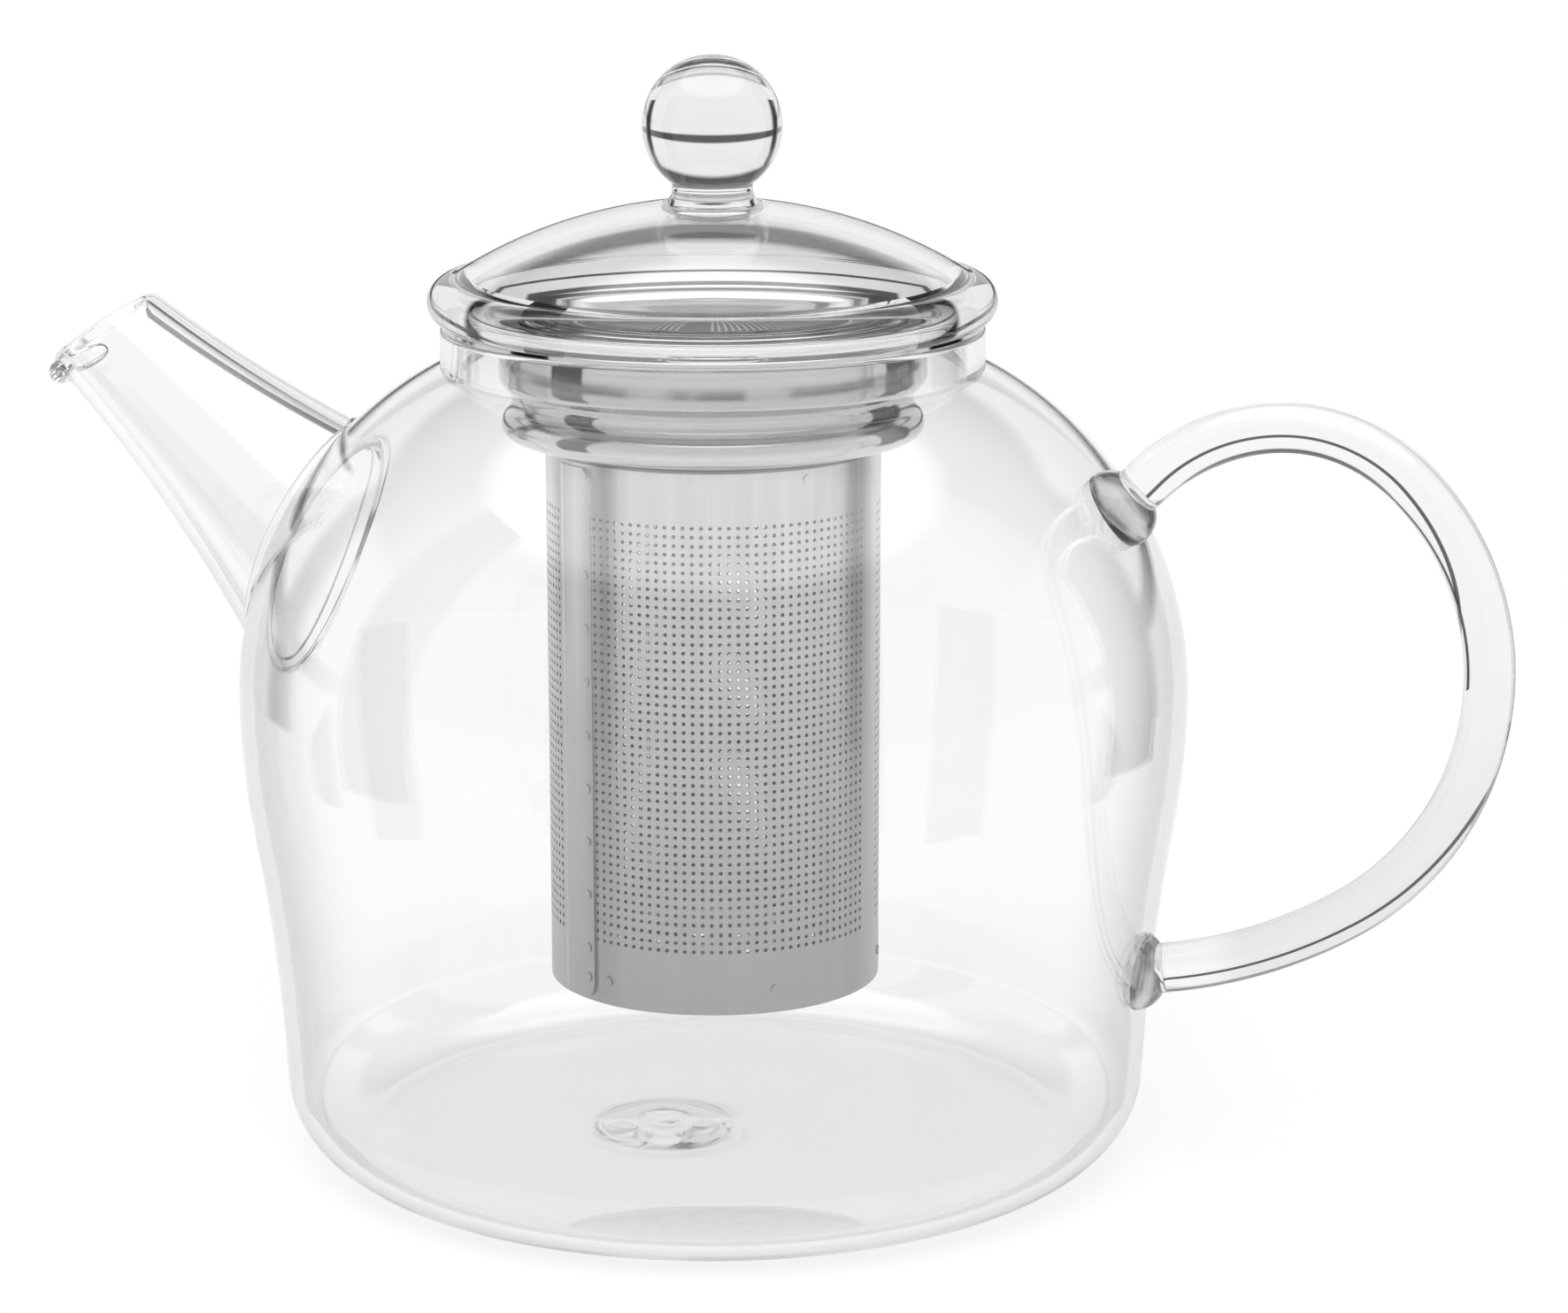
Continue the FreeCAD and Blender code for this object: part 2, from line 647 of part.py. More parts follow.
field_bottom = sleeve_bottom.value + d.field_bottom_margin.value
row_step = (throat_top.value - d.field_top_margin.value - field_bottom) / (HOLE_ROWS - 1)
punch_start = sleeve_inside.value - d.hole_radius.value
punch_length = lap_outside.value + d.hole_radius.value - punch_start
hole_places = []
for field in range(HOLE_FIELDS):
    field_start = d.lap_edge.value + d.field_clear.value + field * 360 / HOLE_FIELDS
    for column in range(HOLE_COLUMNS):
        along = outward(field_start + column * d.column_turn.value)
        for row in range(HOLE_ROWS):
            height = field_bottom + row * row_step
            hole_places.append((along * punch_start + up(height), along))
sleeve_punches = punches("sleeve_punches", punch_length, hole_places)
infuser_sleeve = boolean("Part::Cut", "infuser_sleeve", sleeve_blank, sleeve_punches)


# Infuser floor: a shallow perforated cup held inside the foot of the sleeve

floor_bottom = name("floor_bottom", sleeve_bottom + d.floor_lift)
floor_top = floor_bottom + d.floor_rim
floor_cup = lathe("floor_cup", [
    (zero, floor_bottom),
    (fitted_radius - d.floor_round, floor_bottom, d.floor_round, "left"),
    (fitted_radius, floor_bottom + d.floor_round),
    (fitted_radius, floor_top),
    (fitted_radius - d.sleeve_sheet, floor_top),
    (fitted_radius - d.sleeve_sheet, floor_bottom + d.floor_round, d.floor_round - d.sleeve_sheet, "right"),
    (fitted_radius - d.floor_round, floor_bottom + d.sleeve_sheet),
    (zero, floor_bottom + d.sleeve_sheet)])
ring_step = (fitted_radius.value - d.floor_margin.value) / FLOOR_RINGS
floor_places = [(up(sleeve_bottom.value), up(1))]
for ring_index in range(1, FLOOR_RINGS + 1):
    ring_holes = ring_index * HOLES_PER_RING
    for index in range(ring_holes):
        reach = outward(index * 360 / ring_holes) * ring_index * ring_step
        floor_places.append((reach + up(sleeve_bottom.value), up(1)))
floor_punches = punches("floor_punches", d.floor_rim.value, floor_places)
infuser_floor = boolean("Part::Cut", "infuser_floor", floor_cup, floor_punches)


# Spot welds: low flat-sided caps that lie on the outside of the sleeve

def spot_welds(label, places):
    # Each place is the radius of the sheet's face there, the angle round it and the height
    caps = []
    for face, angle, height in places:
        along = outward(angle)
        centre = along * face + up(height)
        spoke = up(d.nugget_radius.value)
        corners = [
            centre + FreeCAD.Rotation(along, index * 360 / NUGGET_SIDES).multVec(spoke)
            for index in range(NUGGET_SIDES)]
        outline = Part.Face(Part.makePolygon(corners + corners[:1]))
        caps.append(outline.extrude(along * d.nugget_height.value))
    welds = doc.addObject("Part::Feature", label)
    welds.Shape = Part.makeCompound(caps)
    return welds


first_weld = d.lap_edge.value + d.first_weld_offset.value
seam_angle = d.lap_edge.value - math.degrees(d.seam_weld_inset.value / lap_outside.value)
collar_weld_height = throat_top.value - d.collar_weld_drop.value
floor_weld_height = sleeve_bottom.value + d.floor_weld_rise.value


def weld_circle(count, height):
    round_sleeve = [
        (sleeve_radius.value, first_weld + index * 360 / count, height) for index in range(count)]
    return round_sleeve + [(lap_outside.value, seam_angle, height)]


collar_spot_welds = spot_welds("collar_spot_welds", weld_circle(COLLAR_WELDS, collar_weld_height))
floor_spot_welds = spot_welds("floor_spot_welds", weld_circle(FLOOR_WELDS, floor_weld_height))
seam_top = throat_top.value - d.seam_top_margin.value
seam_bottom = sleeve_bottom.value + d.seam_bottom_margin.value
seam_step = (seam_top - seam_bottom) / (SEAM_WELDS - 1)
seam_spot_welds = spot_welds("seam_spot_welds", [
    (lap_outside.value, seam_angle, seam_bottom + index * seam_step) for index in range(SEAM_WELDS)])


# Lid: a blown dome with a thick rolled edge that rests on the flange of the infuser

lid_radius = name("lid_radius", d.neck_radius + d.lid_overhang)
roll_reach = name("roll_reach", lid_radius - d.lid_roll)
roll_height = name("roll_height", seat_height + d.lid_roll - d.lid_ground)
roll_top = name("roll_top", roll_height + d.lid_roll)
dome_curve = name(
    "dome_curve", (roll_reach * roll_reach + d.lid_rise * d.lid_rise) / (2 * d.lid_rise))
dome_top = name("dome_top", roll_top + d.lid_rise)
dome_centre = name("dome_centre", dome_top - dome_curve)
under_curve = name("under_curve", dome_curve - d.lid_wall)
ground_half = name(
    "ground_half", root(2 * d.lid_roll * d.lid_ground - d.lid_ground * d.lid_ground))
roll_inside = name("roll_inside", lid_radius - 2 * d.lid_roll)


def dome_height(curve, reach):
    return dome_centre + root(curve * curve - reach * reach)


root_edge = name("root_edge", dome_height(under_curve, d.knob_root_radius))
root_drop = name("root_drop", root_edge - (dome_centre + under_curve - d.knob_root_depth))
root_curve = name(
    "root_curve",
    (d.knob_root_radius * d.knob_root_radius + root_drop * root_drop) / (2 * root_drop))
lid_cover = lathe("lid_cover", [
    (zero, dome_top, dome_curve, "right"),
    (roll_reach, roll_top, d.lid_roll, "right"),
    (lid_radius, roll_height, d.lid_roll, "right"),
    (roll_reach + ground_half, seat_height),
    (roll_reach - ground_half, seat_height, d.lid_roll, "right"),
    (roll_inside, roll_height),
    (roll_inside, dome_height(under_curve, roll_inside), under_curve, "left"),
    (d.knob_root_radius, root_edge, root_curve, "right"),
    (zero, root_edge - root_drop)])

# Knob: a solid ball on a short neck, seated on the top of the dome
knob_centre = name("knob_centre", dome_top + d.knob_lift)
knob_base = name("knob_base", d.knob_neck + d.knob_fillet)
knob_foot = name("knob_foot", dome_height(dome_curve, knob_base))
lid_knob = lathe("lid_knob", [
    (zero, dome_top, dome_curve, "right"),
    (knob_base, knob_foot, d.knob_fillet, "right"),
    (d.knob_neck, knob_foot + d.knob_fillet),
    (d.knob_neck, knob_centre - root(d.knob_radius * d.knob_radius - d.knob_neck * d.knob_neck),
     d.knob_radius, "left"),
    (zero, knob_centre + d.knob_radius)])


# Check every object, then write one file for each sub-part

pieces = [
    vessel_body, spout, spout_weld, handle, handle_top_weld, handle_bottom_weld,
    infuser_collar, infuser_sleeve, infuser_floor,
    collar_spot_welds, seam_spot_welds, floor_spot_welds,
    lid_cover, lid_knob,
]
doc.recompute()
for item in doc.Objects:
    if "Invalid" in item.State or "Error" in item.State:
        raise RuntimeError(f"{item.Name} failed: {item.State}")
for alias, number in named:
    if abs(derived.get(alias) - number) > 1e-6:
        raise RuntimeError(f"{alias} differs from its formula")
for piece in pieces:
    if piece.Shape.isNull() or not piece.Shape.isValid():
        raise RuntimeError(f"{piece.Label} has no valid shape")

os.makedirs("parts", exist_ok=True)
for piece in pieces:
    piece.Shape.exportStep(f"parts/{piece.Label}.step")
    print(piece.Label, len(piece.Shape.Solids), round(piece.Shape.Volume, 1))
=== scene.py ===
import bmesh
import bpy
import math
from mathutils import Matrix, Vector


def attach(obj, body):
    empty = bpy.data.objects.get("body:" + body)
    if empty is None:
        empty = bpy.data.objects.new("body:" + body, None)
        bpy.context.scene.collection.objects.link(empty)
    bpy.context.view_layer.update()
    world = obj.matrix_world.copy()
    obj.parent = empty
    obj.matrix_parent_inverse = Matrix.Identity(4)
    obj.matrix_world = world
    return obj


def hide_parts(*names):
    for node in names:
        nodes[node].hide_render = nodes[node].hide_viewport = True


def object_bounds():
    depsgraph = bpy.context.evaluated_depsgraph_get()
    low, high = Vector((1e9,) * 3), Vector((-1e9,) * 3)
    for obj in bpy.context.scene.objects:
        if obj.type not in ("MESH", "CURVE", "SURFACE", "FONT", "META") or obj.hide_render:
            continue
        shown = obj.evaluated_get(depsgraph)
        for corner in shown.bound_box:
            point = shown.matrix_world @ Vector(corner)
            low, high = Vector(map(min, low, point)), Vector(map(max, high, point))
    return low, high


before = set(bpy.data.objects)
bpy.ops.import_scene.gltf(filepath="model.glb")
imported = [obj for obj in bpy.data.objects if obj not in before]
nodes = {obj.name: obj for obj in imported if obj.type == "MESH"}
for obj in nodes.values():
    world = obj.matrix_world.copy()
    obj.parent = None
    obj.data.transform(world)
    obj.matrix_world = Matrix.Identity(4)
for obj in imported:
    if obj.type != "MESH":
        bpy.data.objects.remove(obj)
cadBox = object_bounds()
mm = 0.001  # sizes below are in millimetres, the scene is in metres
print("frame loaded:", len(nodes), "solids")


# plane geometry for turned and bent glass

def arc(start, end, radius, side, step=3.0):  # short arc, centre left or right of the way, end left out
    x0, y0 = start
    x1, y1 = end
    span = math.hypot(x1 - x0, y1 - y0)
    rise = math.sqrt(max(radius ** 2 - span ** 2 / 4, 0))
    sign = 1 if side == "left" else -1
    cx = (x0 + x1) / 2 - sign * rise * (y1 - y0) / span
    cy = (y0 + y1) / 2 + sign * rise * (x1 - x0) / span
    turn = 2 * math.asin(min(span / 2 / radius, 1)) * sign
    begin = math.atan2(y0 - cy, x0 - cx)
    count = max(2, math.ceil(math.degrees(abs(turn)) / step))
    return [(cx + radius * math.cos(begin + turn * i / count),
             cy + radius * math.sin(begin + turn * i / count)) for i in range(count)]


def trace(stops, step=3.0):  # a stop is (r, z) before a line, or (r, z, radius, side) before an arc
    points = []
    for here, after in zip(stops, stops[1:] + stops[:1]):
        if len(here) == 4:
            points += arc(here[:2], after[:2], here[2], here[3], step)
        else:
            points.append(here[:2])
    return points


def backwards(stops):  # the same way from its end, each arc on the other side
    reverse = []
    for index in range(len(stops) - 1, -1, -1):
        stop = tuple(stops[index][:2])
        if index and len(stops[index - 1]) == 4:
            radius, side = stops[index - 1][2:]
            stop += (radius, "right" if side == "left" else "left")
        reverse.append(stop)
    return reverse


def finer(points, longest):  # splits long straight stretches, so that cuts leave good triangles
    made = []
    for here, after in zip(points, points[1:] + points[:1]):
        parts = max(1, math.ceil(math.dist(here, after) / longest))
        made += [(here[0] + (after[0] - here[0]) * i / parts, here[1] + (after[1] - here[1]) * i / parts)
                 for i in range(parts)]
    return made


# mesh makers, which take millimetres and leave metres

def meshPiece(name, verts, faces, place=None, smooth=35):
    mesh = bpy.data.meshes.new(name)
    mesh.from_pydata([tuple(c * mm for c in v) for v in verts], [], faces)
    if place is not None:
        mesh.transform(place)
    work = bmesh.new()
    work.from_mesh(mesh)
    bmesh.ops.recalc_face_normals(work, faces=work.faces)
    work.to_mesh(mesh)
    work.free()
    mesh.shade_smooth()
    mesh.set_sharp_from_angle(angle=math.radians(smooth))
    piece = bpy.data.objects.new(name, mesh)
    bpy.context.scene.collection.objects.link(piece)
    return piece


def turned(name, points, spins=192, place=None, smooth=35):  # a closed section turned about its own axis
    verts, rings, faces = [], [], []
    for r, z in points:
        if r < 1e-6:
            rings.append([len(verts)] * spins)
            verts.append((0, 0, z))
        else:
            rings.append(list(range(len(verts), len(verts) + spins)))
            verts += [(r * math.cos(math.tau * i / spins), r * math.sin(math.tau * i / spins), z)
                      for i in range(spins)]
    for low, high in zip(rings, rings[1:] + rings[:1]):
        for i in range(spins):
            j = (i + 1) % spins
            corner = list(dict.fromkeys((low[i], low[j], high[j], high[i])))
            if len(corner) > 2:
                faces.append(corner)
    return meshPiece(name, verts, faces, place, smooth)


def swept(name, way, radii, sides=48, closed=False):  # a round bar along points, with a radius at each
    way = [Vector(p) for p in way]
    count = len(way)
    up = Vector((0, 1, 0))
    verts, faces = [], []
    for i, point in enumerate(way):
        before = way[i - 1] if closed or i else way[0]
        after = way[(i + 1) % count] if closed or i + 1 < count else way[-1]
        along = (after - before).normalized()
        side = along.cross(up).normalized() if abs(along.dot(up)) < 0.95 else along.orthogonal()
        over = side.cross(along)
        up = over
        for k in range(sides):
            angle = math.tau * k / sides
            verts.append(point + radii[i] * (side * math.cos(angle) + over * math.sin(angle)))
    for i in range(count if closed else count - 1):
        low, high = i * sides, ((i + 1) % count) * sides
        faces += [(low + k, low + (k + 1) % sides, high + (k + 1) % sides, high + k) for k in range(sides)]
    if not closed:
        faces += [tuple(range(sides)), tuple(range((count - 1) * sides, count * sides))]
    return meshPiece(name, [tuple(v) for v in verts], faces)


def melt(base, tool, operation="UNION"):  # joins or cuts two closed pieces and drops the second
    cut = base.modifiers.new("melt", "BOOLEAN")
    cut.operation = operation
    cut.solver = "EXACT"
    cut.object = tool
    view = bpy.context.evaluated_depsgraph_get()
    mesh = bpy.data.meshes.new_from_object(base.evaluated_get(view))
    base.modifiers.clear()
    base.data = mesh
    bpy.data.objects.remove(tool)


def dress(piece, body, slot, finish, *stoodFor):
    piece.data.materials.clear()
    piece.data.materials.append(finish)
    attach(piece, body)
    if stoodFor:
        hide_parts(*stoodFor)


# shader sums

class Wire:  # one socket of a node tree, so that sums can be written as plain Python
    def __init__(self, tree, socket=None):
        self.tree = tree
        self.socket = socket

    def node(self, kind, settings=None, sockets=None, out=0):
        made = self.tree.nodes.new("ShaderNode" + kind)
        for field, value in (settings or {}).items():
            setattr(made, field, value)
        for name, value in (sockets or {}).items():
            if isinstance(value, Wire):
                self.tree.links.new(value.socket, made.inputs[name])
            else:
                made.inputs[name].default_value = value
        return Wire(self.tree, made.outputs[out] if len(made.outputs) else None)

    def pick(self, out):  # another output of the same node
        return Wire(self.tree, self.socket.node.outputs[out])

    def sum(self, operation, first, second):
        return self.node("Math", {"operation": operation}, {0: first, 1: second})

    def __add__(self, other):
        return self.sum("ADD", self, other)

    def __radd__(self, other):
        return self.sum("ADD", other, self)

    def __sub__(self, other):
        return self.sum("SUBTRACT", self, other)

    def __rsub__(self, other):
        return self.sum("SUBTRACT", other, self)

    def __mul__(self, other):
        return self.sum("MULTIPLY", self, other)

    def __rmul__(self, other):
        return self.sum("MULTIPLY", other, self)

    def blend(self, factor, first, second):  # colours, by a mask
        return self.node("Mix", {"data_type": "RGBA"}, {0: factor, 6: first, 7: second}, 2)

    def between(self, low, high, start=0.0, end=1.0):  # smooth step from low to high
        return self.node("MapRange", {"interpolation_type": "SMOOTHSTEP"},
                         {"Value": self, "From Min": low, "From Max": high, "To Min": start, "To Max": end})


def newFinish(name):
    finish = bpy.data.materials.new(name)
    finish.use_nodes = True
    finish.node_tree.nodes.clear()
    return finish, Wire(finish.node_tree)


glassLook = {
    # edge is a painted shade colour for walls seen at a slant; the pale values lessen it near the top
    "clear": (0.995, 0.995, 0.995, 1), "smeared": (0.97, 0.97, 0.97, 1), "edge": (0.4, 0.405, 0.405, 1),
    "edgeShadeStart": 0.42, "edgeShadeEnd": 0.98, "ior": 1.47, "haze": 0.012,
    "absorbTint": (0.74, 0.75, 0.75, 1), "absorbPerMetre": 31.0,
    "waveSize": 38.0, "waveDepth": 0.0006, "waveStrength": 0.05,
    "smearSize": 90.0, "smearFrom": 0.62, "smearTo": 0.85,
    "paleFrom": 0.085, "paleTo": 0.115, "paleShare": 0.6, "innerShare": 1.0,
    # the rod grey is a painted shade colour for the outer handle rod
    "rodShadeGrey": (0.86, 0.86, 0.86, 1), "rodFrom": 0.08, "rodTo": 0.088, "rodHigh": 0.125, "rodLow": 0.05,
    # caught glow and dim are the colours of painted light that trapped rays end on
    "caughtFrom": 6.5, "caughtTo": 10.5, "caughtGlow": (1, 1, 1, 1),
    "caughtDim": (0.2, 0.2, 0.2, 1), "streakSize": 45.0, "streakFrom": 0.42, "streakTo": 0.56,
}


def clearGlass():  # clear when faced; painted shade greys the wall where the eye meets it at a slant, less so near the top
    look = glassLook
    finish, wire = newFinish("clearGlass")
    place = wire.node("TexCoord", out="Object")
    wave = wire.node("TexNoise", None, {"Vector": place, "Scale": look["waveSize"], "Detail": 1.0})
    smear = wire.node("TexNoise", None, {"Vector": place, "Scale": look["smearSize"], "Detail": 3.0})
    smear = smear.between(look["smearFrom"], look["smearTo"])
    side = wire.node("SeparateXYZ", None, {0: place})
    height = side.pick("Z")
    pale = height.between(look["paleFrom"], look["paleTo"]) * look["paleShare"]
    # painted shade: how much grey is blended in where the wall is seen at a slant
    edgeShade = wire.node("LayerWeight", None, {"Blend": 0.5}, "Facing")
    edgeShade = edgeShade.between(look["edgeShadeStart"], look["edgeShadeEnd"])
    entering = 1 - look["innerShare"] * wire.node("NewGeometry", out="Backfacing")
    # painted shade: the outer part of the handle rod is tinted grey, more of it lower down
    rodShade = side.between(look["rodFrom"], look["rodTo"]) * height.between(look["rodHigh"], look["rodLow"])
    tint = wire.blend(smear, look["clear"], look["smeared"])
    tint = wire.blend(rodShade, tint, look["rodShadeGrey"])
    tint = wire.blend(edgeShade * (1 - pale) * entering, tint, look["edge"])
    bump = wire.node("Bump", None, {
        "Height": wave, "Strength": look["waveStrength"], "Distance": look["waveDepth"]})
    glass = wire.node("BsdfPrincipled", None, {
        "Base Color": tint, "Roughness": smear * look["haze"], "Normal": bump,
        "IOR": look["ior"], "Transmission Weight": 1.0})
    absorb = wire.node("VolumeAbsorption", None, {
        "Color": look["absorbTint"], "Density": look["absorbPerMetre"]})
    depth = wire.node("LightPath", out="Ray Depth")  # painted light: rays that have gone round inside the wall many times end on a streaked grey glow instead of going dark
    caught = depth.between(look["caughtFrom"], look["caughtTo"])
    streak = wire.node("TexNoise", None, {"Vector": place, "Scale": look["streakSize"], "Detail": 2.0})
    streak = streak.between(look["streakFrom"], look["streakTo"])
    glow = wire.blend(streak, look["caughtDim"], look["caughtGlow"])
    glow = wire.node("Emission", None, {"Color": glow, "Strength": 1.0})
    surface = wire.node("MixShader", None, {0: caught, 1: glass, 2: glow})
    wire.node("OutputMaterial", None, {"Surface": surface, "Volume": absorb})
    return finish


brushing = {
    "lineShare": 0.7, "cloudShare": 0.3, "cloudSize": 60.0, "maskFrom": 0.3, "maskTo": 0.72,
    "roughSpread": 0.06, "turn": 0.25,
}


def brushedSteel(look):  # fine lines along the way the sheet was brushed, and painted shade that darkens it towards the foot
    finish, wire = newFinish(look["name"])
    place = wire.node("TexCoord", out="Object")
    along = wire.node("Mapping", None, {"Vector": place, "Scale": look["grain"]})
    lines = wire.node("TexNoise", None, {"Vector": along, "Scale": 1.0, "Detail": 4.0, "Roughness": 0.65})
    cloud = wire.node("TexNoise", None, {"Vector": place, "Scale": brushing["cloudSize"], "Detail": 2.0})
    mask = lines * brushing["lineShare"] + cloud * brushing["cloudShare"]
    mask = mask.between(brushing["maskFrom"], brushing["maskTo"])
    # painted shade: the base colour darkens to the foot tone towards the bottom
    low = wire.node("SeparateXYZ", None, {0: place}, "Z").between(look["shadeStartHeight"], look["shadeFullHeight"])
    bump = wire.node("Bump", None, {
        "Height": lines, "Strength": look["bump"], "Distance": look["grainDepth"]})
    tone = wire.blend(mask, look["deep"], look["pale"])
    steel = wire.node("BsdfPrincipled", None, {
        "Base Color": wire.blend(low, tone, look["foot"]), "Metallic": 1.0,
        "Roughness": look["rough"] + brushing["roughSpread"] * mask, "Normal": bump,
        "Anisotropic": look["anisotropy"], "Anisotropic Rotation": brushing["turn"]})
    wire.node("OutputMaterial", None, {"Surface": steel})
    return finish


# foot is a painted shade colour, taken on towards the bottom
collarLook = {
    "name": "collarSteel", "pale": (0.68, 0.677, 0.668, 1), "deep": (0.54, 0.537, 0.53, 1),
    "foot": (0.5, 0.497, 0.49, 1), "shadeStartHeight": 0.13, "shadeFullHeight": 0.1,
    "grain": (6.0, 6.0, 1400.0), "grainDepth": 0.00004, "bump": 0.05, "rough": 0.1, "anisotropy": 0.9,
}
sleeveLook = {
    "name": "sleeveSteel", "pale": (0.8, 0.795, 0.78, 1), "deep": (0.66, 0.655, 0.64, 1),
    "foot": (0.43, 0.427, 0.42, 1), "shadeStartHeight": 0.115, "shadeFullHeight": 0.025,
    "grain": (500.0, 500.0, 12.0), "grainDepth": 0.00004, "bump": 0.08, "rough": 0.36, "anisotropy": 0.6,
}
glass = clearGlass()
collarSteel = brushedSteel(collarLook)
sleeveSteel = brushedSteel(sleeveLook)
print("finishes made")


# glass pot: body, spout, handle and their melted joints in one piece

pot = {
    "bellyRadius": 75.1, "bellyHeight": 75.0, "bellySwell": 6.2, "flankRatio": 2.6,
    "heelRadius": 13.6, "heelLean": math.radians(2.5), "shoulderRadius": 58.0,
    "neckRadius": 42.6, "neckLength": 6.4, "wall": 2.2, "neckWall": 2.8,
    "rimRound": 0.9, "sealRadius": 11.5, "sealHeight": 0.9, "spare": 6.0,
    "sealMiddle": 0.35, "sealDimple": 4.6, "sealDish": 16.0, "sealRidge": 14.0, "sealWobble": 0.3,
    "sealShift": 8.4, "sealTurn": math.radians(198), "sealHold": 34.0, "sealSwing": 0.7,
    "arcStep": 1.5, "longest": 3.0, "spins": 256, "sharp": 40,
}
heelReach = pot["bellyRadius"] - pot["bellySwell"]
heelSin, heelCos = math.sin(pot["heelLean"]), math.cos(pot["heelLean"])
baseRadius = heelReach - pot["heelRadius"] * heelCos
flankRise = pot["bellyHeight"] - pot["heelRadius"] * (1 - heelSin)
curveSquare = 2 * pot["flankRatio"] * (1 - heelCos)  # flank and belly arcs share a tangent where they meet
curveHalf = pot["bellySwell"] * (1 + pot["flankRatio"] * heelCos) - flankRise * pot["flankRatio"] * heelSin
curveRest = flankRise ** 2 + pot["bellySwell"] ** 2
bellyCurve = (math.sqrt(curveHalf ** 2 + curveSquare * curveRest) - curveHalf) / curveSquare
flankCurve = bellyCurve * pot["flankRatio"]
flankSin = (flankRise + flankCurve * heelSin) / (bellyCurve + flankCurve)
flankCos = (bellyCurve + flankCurve * heelCos - pot["bellySwell"]) / (bellyCurve + flankCurve)
shoulderCentre = pot["bellyRadius"] - pot["shoulderRadius"]


def shoulderHeight(shoulder, reach):
    return pot["bellyHeight"] + math.sqrt(shoulder ** 2 - (reach - shoulderCentre) ** 2)


rimHeight = shoulderHeight(pot["shoulderRadius"], pot["neckRadius"]) + pot["neckLength"]
neckInside = pot["neckRadius"] - pot["neckWall"]


def wallStops(grow, neck):  # the wall from base to neck, moved out along its normal
    heel, belly, shoulder = pot["heelRadius"] + grow, bellyCurve + grow, pot["shoulderRadius"] + grow
    return [
        (baseRadius, -grow, heel, "left"),
        (baseRadius + heel * heelCos, pot["heelRadius"] - heel * heelSin, flankCurve - grow, "right"),
        (pot["bellyRadius"] - bellyCurve + belly * flankCos,
         pot["bellyHeight"] - belly * flankSin, belly, "left"),
        (pot["bellyRadius"] + grow, pot["bellyHeight"], shoulder, "left"),
        (neck, shoulderHeight(shoulder, neck)),
    ]


def wallRadius(height):  # outside radius of belly and shoulder at a height
    climb = height - pot["bellyHeight"]
    if climb >= 0:
        return shoulderCentre + math.sqrt(max(pot["shoulderRadius"] ** 2 - climb ** 2, 0))
    return pot["bellyRadius"] - bellyCurve + math.sqrt(bellyCurve ** 2 - climb ** 2)


rimRound = pot["rimRound"]
outside = trace([(0, 0)] + wallStops(0, pot["neckRadius"])
                + [(pot["neckRadius"], rimHeight - rimRound, rimRound, "left"),
                   (pot["neckRadius"] - rimRound, rimHeight), (0, rimHeight)], pot["arcStep"])
floorLevel = pot["wall"]
inside = trace([(0, floorLevel + pot["sealMiddle"], pot["sealDish"], "left"),
                (pot["sealDimple"], floorLevel + pot["sealHeight"], pot["sealRidge"], "right"),
                (pot["sealRadius"], floorLevel)]
               + wallStops(-pot["wall"], neckInside)
               + [(neckInside, rimHeight - rimRound, rimRound, "right"),
                  (neckInside + rimRound, rimHeight),
                  (neckInside + rimRound, rimHeight + pot["spare"]),
                  (0, rimHeight + pot["spare"])], pot["arcStep"])
glassPot = turned("glassPot", finer(outside, pot["longest"]), pot["spins"])
cavity = turned("cavity", finer(inside, pot["longest"]), pot["spins"])
for vertex in cavity.data.vertices:  # the pinched-off seal is never quite round nor in the middle
    far = math.hypot(vertex.co.x, vertex.co.y) / mm
    if far > pot["sealHold"] or vertex.co.z > pot["bellyHeight"] * mm:
        continue
    reach = min(far / pot["sealRadius"], 1)
    swing = math.sin(2 * math.atan2(vertex.co.y, vertex.co.x) + pot["sealSwing"])
    vertex.co.z += pot["sealWobble"] * mm * swing * math.sin(math.pi * reach)
    shift = pot["sealShift"] * mm * min((pot["sealHold"] - far) / (pot["sealHold"] - pot["sealRadius"]), 1)
    vertex.co.x += shift * math.cos(pot["sealTurn"])
    vertex.co.y += shift * math.sin(pot["sealTurn"])

spout = {
    "overhang": 30.3, "mouthDrop": 6.1, "rise": math.radians(39.9), "length": 72.0,
    "mouthRadius": 9.7, "rootRadius": 27.5, "flare": 250.0, "wall": 1.8, "tilt": math.radians(13.5),
    "mouthRound": 0.8, "lipRadius": 1.7, "lipSweep": math.radians(110), "lipSetback": 2.1, "lipEnd": 0.35,
    "lipSteps": 48, "beadRadius": 1.3, "beadSteps": 160, "beadFrom": 5.0, "beadHalvings": 40,
    "lipSides": 32, "beadSides": 24, "spins": 128, "rings": 60,
}
mouthPlace = Matrix.Translation(Vector((
    -(pot["bellyRadius"] + spout["overhang"]), 0, rimHeight - spout["mouthDrop"])) * mm)
spoutPlace = mouthPlace @ Matrix.Rotation(spout["rise"] - math.pi / 2, 4, "Y")


def flareRadius(back):  # outside radius at a distance behind the mouth
    dr, length = spout["rootRadius"] - spout["mouthRadius"], spout["length"]
    span = math.hypot(dr, length)
    rise = math.sqrt(spout["flare"] ** 2 - span ** 2 / 4)
    centreR = (spout["rootRadius"] + spout["mouthRadius"]) / 2 + rise * length / span
    centreBack = length / 2 - rise * dr / span
    if back <= 0:
        return spout["mouthRadius"]
    return centreR - math.sqrt(spout["flare"] ** 2 - (back - centreBack) ** 2)


